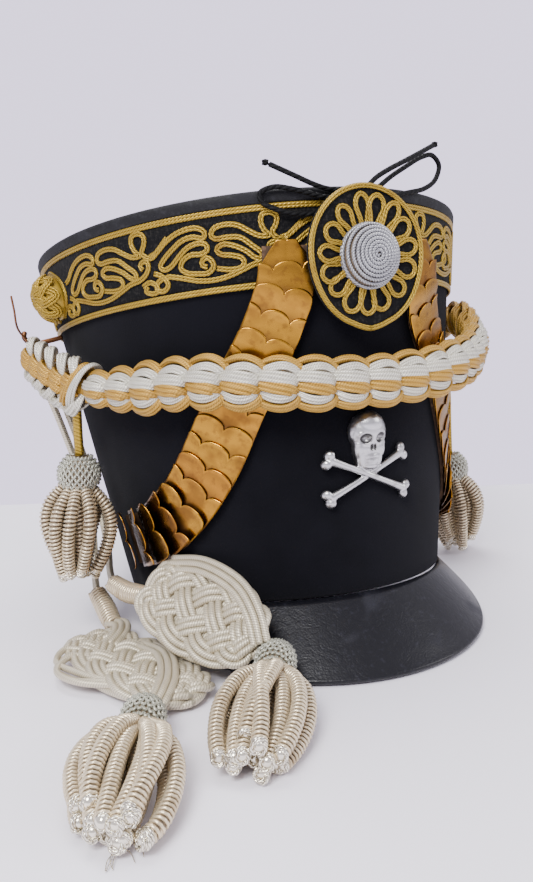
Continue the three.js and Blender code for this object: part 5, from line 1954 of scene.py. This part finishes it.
class SHAKO_OT_festoon(bpy.types.Operator):
    """Plait the gold and silver festoon across the front"""

    bl_idname = "shako.festoon"
    bl_label = "Festoon"

    def execute(self, context):
        sizes = context.scene.shako_cords
        course = FestoonCourse()
        self.rise = sizes.festoon_rise / 2
        self.depth = 7.5 * MM
        self.draw = random.Random("festoon")
        skin = Skin()
        joint = course.length * JOINT_SHARE
        first = 6 * MM
        links = int(round((joint - first) / sizes.festoon_pitch))
        pitch = (joint - first) / links
        for k in range(links):
            grow = min(1.0, 0.72 + 0.14 * k, 0.66 + 0.12 * (links - 1 - k))
            self.link(skin, course, LINK, joint - (k + 1) * pitch, pitch, grow)
        rest = course.length - joint + FESTOON_PAST_HOOK
        for k in range(END_LINKS):
            pitch = rest / END_LINKS
            self.link(skin, course, END_LINK, joint + 5 * MM + k * pitch, pitch, 1.22 - 0.05 * k)
        self.binding(skin, course, joint)
        places = np.linspace(3 * MM, course.length - 3 * MM, 120)
        full = np.minimum(np.minimum(places, course.length - places) / (14 * MM), 1)
        core = course.at(places, 0 * places, 0 * places - 0.4 * MM)
        skin.tube(core, (2.3 + 2.3 * full) * MM, 12)
        piece = skin.made("corded_festoon", thread("Festoon gold"), thread("Festoon silver"))
        settle(piece, "gold_cord", "festoon_plait")
        return {"FINISHED"}

    def link(self, skin, course, runs, start, pitch, grow):
        """One link of the plait, whose cords thin out where they go under the next."""
        for colour, cord, places in runs:
            uneven = [self.draw.uniform(0.95, 1.05) for _ in range(3)]
            table = np.array(places) * [pitch, self.rise * 0.88 * grow, self.depth * 0.84] * uneven
            line = smooth(table, 1.4 * MM)
            path = course.at(start + line[:, 0], line[:, 1], line[:, 2])
            middle = course.at(start + line[:, 0], line[:, 1] * 0.25, line[:, 2] * 0 - 3 * MM)
            full = 0.74 + 0.26 * np.sin(np.pi * np.linspace(0.05, 0.95, len(path)))
            width = 3.45 * cord * MM * full * (0.5 + 0.5 * grow)
            outward = unit(path - middle)
            slot = 0 if colour == "gold" else 1
            skin.braid(path, outward, width, 3, 6, slot=slot)
            skin.tube(path - outward * width[:, None] * 0.2, width * 0.37, 8, slot=slot)

    def binding(self, skin, course, joint):
        """The slanting loops of silver and gold that bind the plait where it turns up."""
        turn = np.linspace(-0.3 * np.pi, 1.3 * np.pi, 30)
        for k, slot in ((0, 1), (1, 0)):
            run = joint + (2 + 5.5 * k) * MM - 6 * MM * np.cos(turn)
            path = course.at(
                run, self.rise * 0.92 * np.cos(turn), self.depth * (0.95 - 0.1 * k) * np.sin(turn)
            )
            middle = course.at(run, 0 * turn, 0 * turn)
            skin.braid(path, unit(path - middle), 4.8 * MM, 3, 7, slot=slot)


# Floor, light and background. The floor lies a hair below the cap, and ends where the photo's
# pale background begins.

FLOOR_DROP = 0.3 * MM
FLOOR_NEAR = -3.0
FLOOR_FAR = 0.70
FLOOR_HALF_WIDTH = 3.5


class SHAKO_OT_stage(bpy.types.Operator):
    """Lay the pale floor and hang the soft lights"""

    bl_idname = "shako.stage"
    bl_label = "Stage"

    def execute(self, context):
        ahead = np.array([math.sin(CAMERA_TURN), math.cos(CAMERA_TURN), 0])
        right = np.array([ahead[1], -ahead[0], 0])
        camera = on_table(CAMERA_PLACE)
        base = np.array([camera[0], camera[1], -FLOOR_DROP])
        sides = ((FLOOR_NEAR, -1), (FLOOR_NEAR, 1), (FLOOR_FAR, 1), (FLOOR_FAR, -1))
        corners = [tuple(base + ahead * far + right * FLOOR_HALF_WIDTH * way) for far, way in sides]
        mesh = bpy.data.meshes.new("floor")
        mesh.from_pydata(corners, [], [(0, 1, 2, 3)])
        floor = in_scene("floor", mesh)
        finish = Finish("Pale floor", Roughness=0.7)
        base_colour = tuple(colours().floor)
        finish.colour(finish.blend(finish.noise(6.0), scaled(base_colour, 0.97), scaled(base_colour, 1.02)))
        mesh.materials.append(finish.material)
        world = context.scene.world or bpy.data.worlds.new("World")
        context.scene.world = world
        world.use_nodes = True
        tree = world.node_tree
        sky = tree.nodes["Background"]
        sky.inputs["Color"].default_value = (0.87, 0.84, 0.97, 1.0)
        sky.inputs["Strength"].default_value = 1.0
        seen = new_node(tree, "ShaderNodeBackground", [(0.84, 0.76, 1.0, 1.0), 2.0])
        camera_rays = tree.nodes.new("ShaderNodeLightPath").outputs["Is Camera Ray"]
        mix = new_node(tree, "ShaderNodeMixShader", [camera_rays, sky.outputs[0], seen.outputs[0]])
        tree.links.new(mix.outputs[0], tree.nodes["World Output"].inputs["Surface"])
        self.lamp("key", (-0.9, -0.9, 1.3), (0, 0, 0.1), 0.7, 40.0)
        self.lamp("fill", (1.1, -0.8, 0.7), (0, 0, 0.1), 0.7, 7.0)
        self.lamp("top", (0.1, 0.5, 1.5), (0, 0, 0.1), 1.0, 20.0)
        return {"FINISHED"}

    def lamp(self, name, place, aim, size, power):
        light = bpy.data.lights.new(name, "AREA")
        light.shape = "SQUARE"
        light.size = size
        light.energy = power
        lamp = in_scene(name, light)
        lamp.location = place
        lamp.rotation_euler = (Vector(aim) - Vector(place)).to_track_quat("-Z", "Y").to_euler()


OPERATORS = (
    SHAKO_OT_camera, SHAKO_OT_tied_cord, SHAKO_OT_tassels, SHAKO_OT_flounders, SHAKO_OT_felt,
    SHAKO_OT_crown, SHAKO_OT_visor, SHAKO_OT_band, SHAKO_OT_cockade, SHAKO_OT_badge,
    SHAKO_OT_chin_straps, SHAKO_OT_rosettes, SHAKO_OT_festoon, SHAKO_OT_stage,
)
GROUPS = {"shako_cap": ShakoCapSizes, "shako_cords": ShakoCordSizes, "shako_colours": ShakoColours}


class SHAKO_PT_panel(bpy.types.Panel):
    """The shako's sizes and the steps that make it"""

    bl_label = "Shako"
    bl_idname = "SHAKO_PT_panel"
    bl_space_type = "VIEW_3D"
    bl_region_type = "UI"
    bl_category = "Shako"

    def draw(self, context):
        for group_name in GROUPS:
            group = getattr(context.scene, group_name)
            box = self.layout.box()
            for name in group.__annotations__:
                box.prop(group, name)
        for operator in OPERATORS:
            self.layout.operator(operator.bl_idname)


CLASSES = (*GROUPS.values(), *OPERATORS, SHAKO_PT_panel)


def register():
    for item in CLASSES:
        bpy.utils.register_class(item)
    for name, group in GROUPS.items():
        setattr(bpy.types.Scene, name, PointerProperty(type=group))


def unregister():
    for name in GROUPS:
        delattr(bpy.types.Scene, name)
    for item in reversed(CLASSES):
        bpy.utils.unregister_class(item)


def main():
    register()
    for operator in OPERATORS:
        family, name = operator.bl_idname.split(".")
        getattr(getattr(bpy.ops, family), name)()


if __name__ == "__main__":
    main()
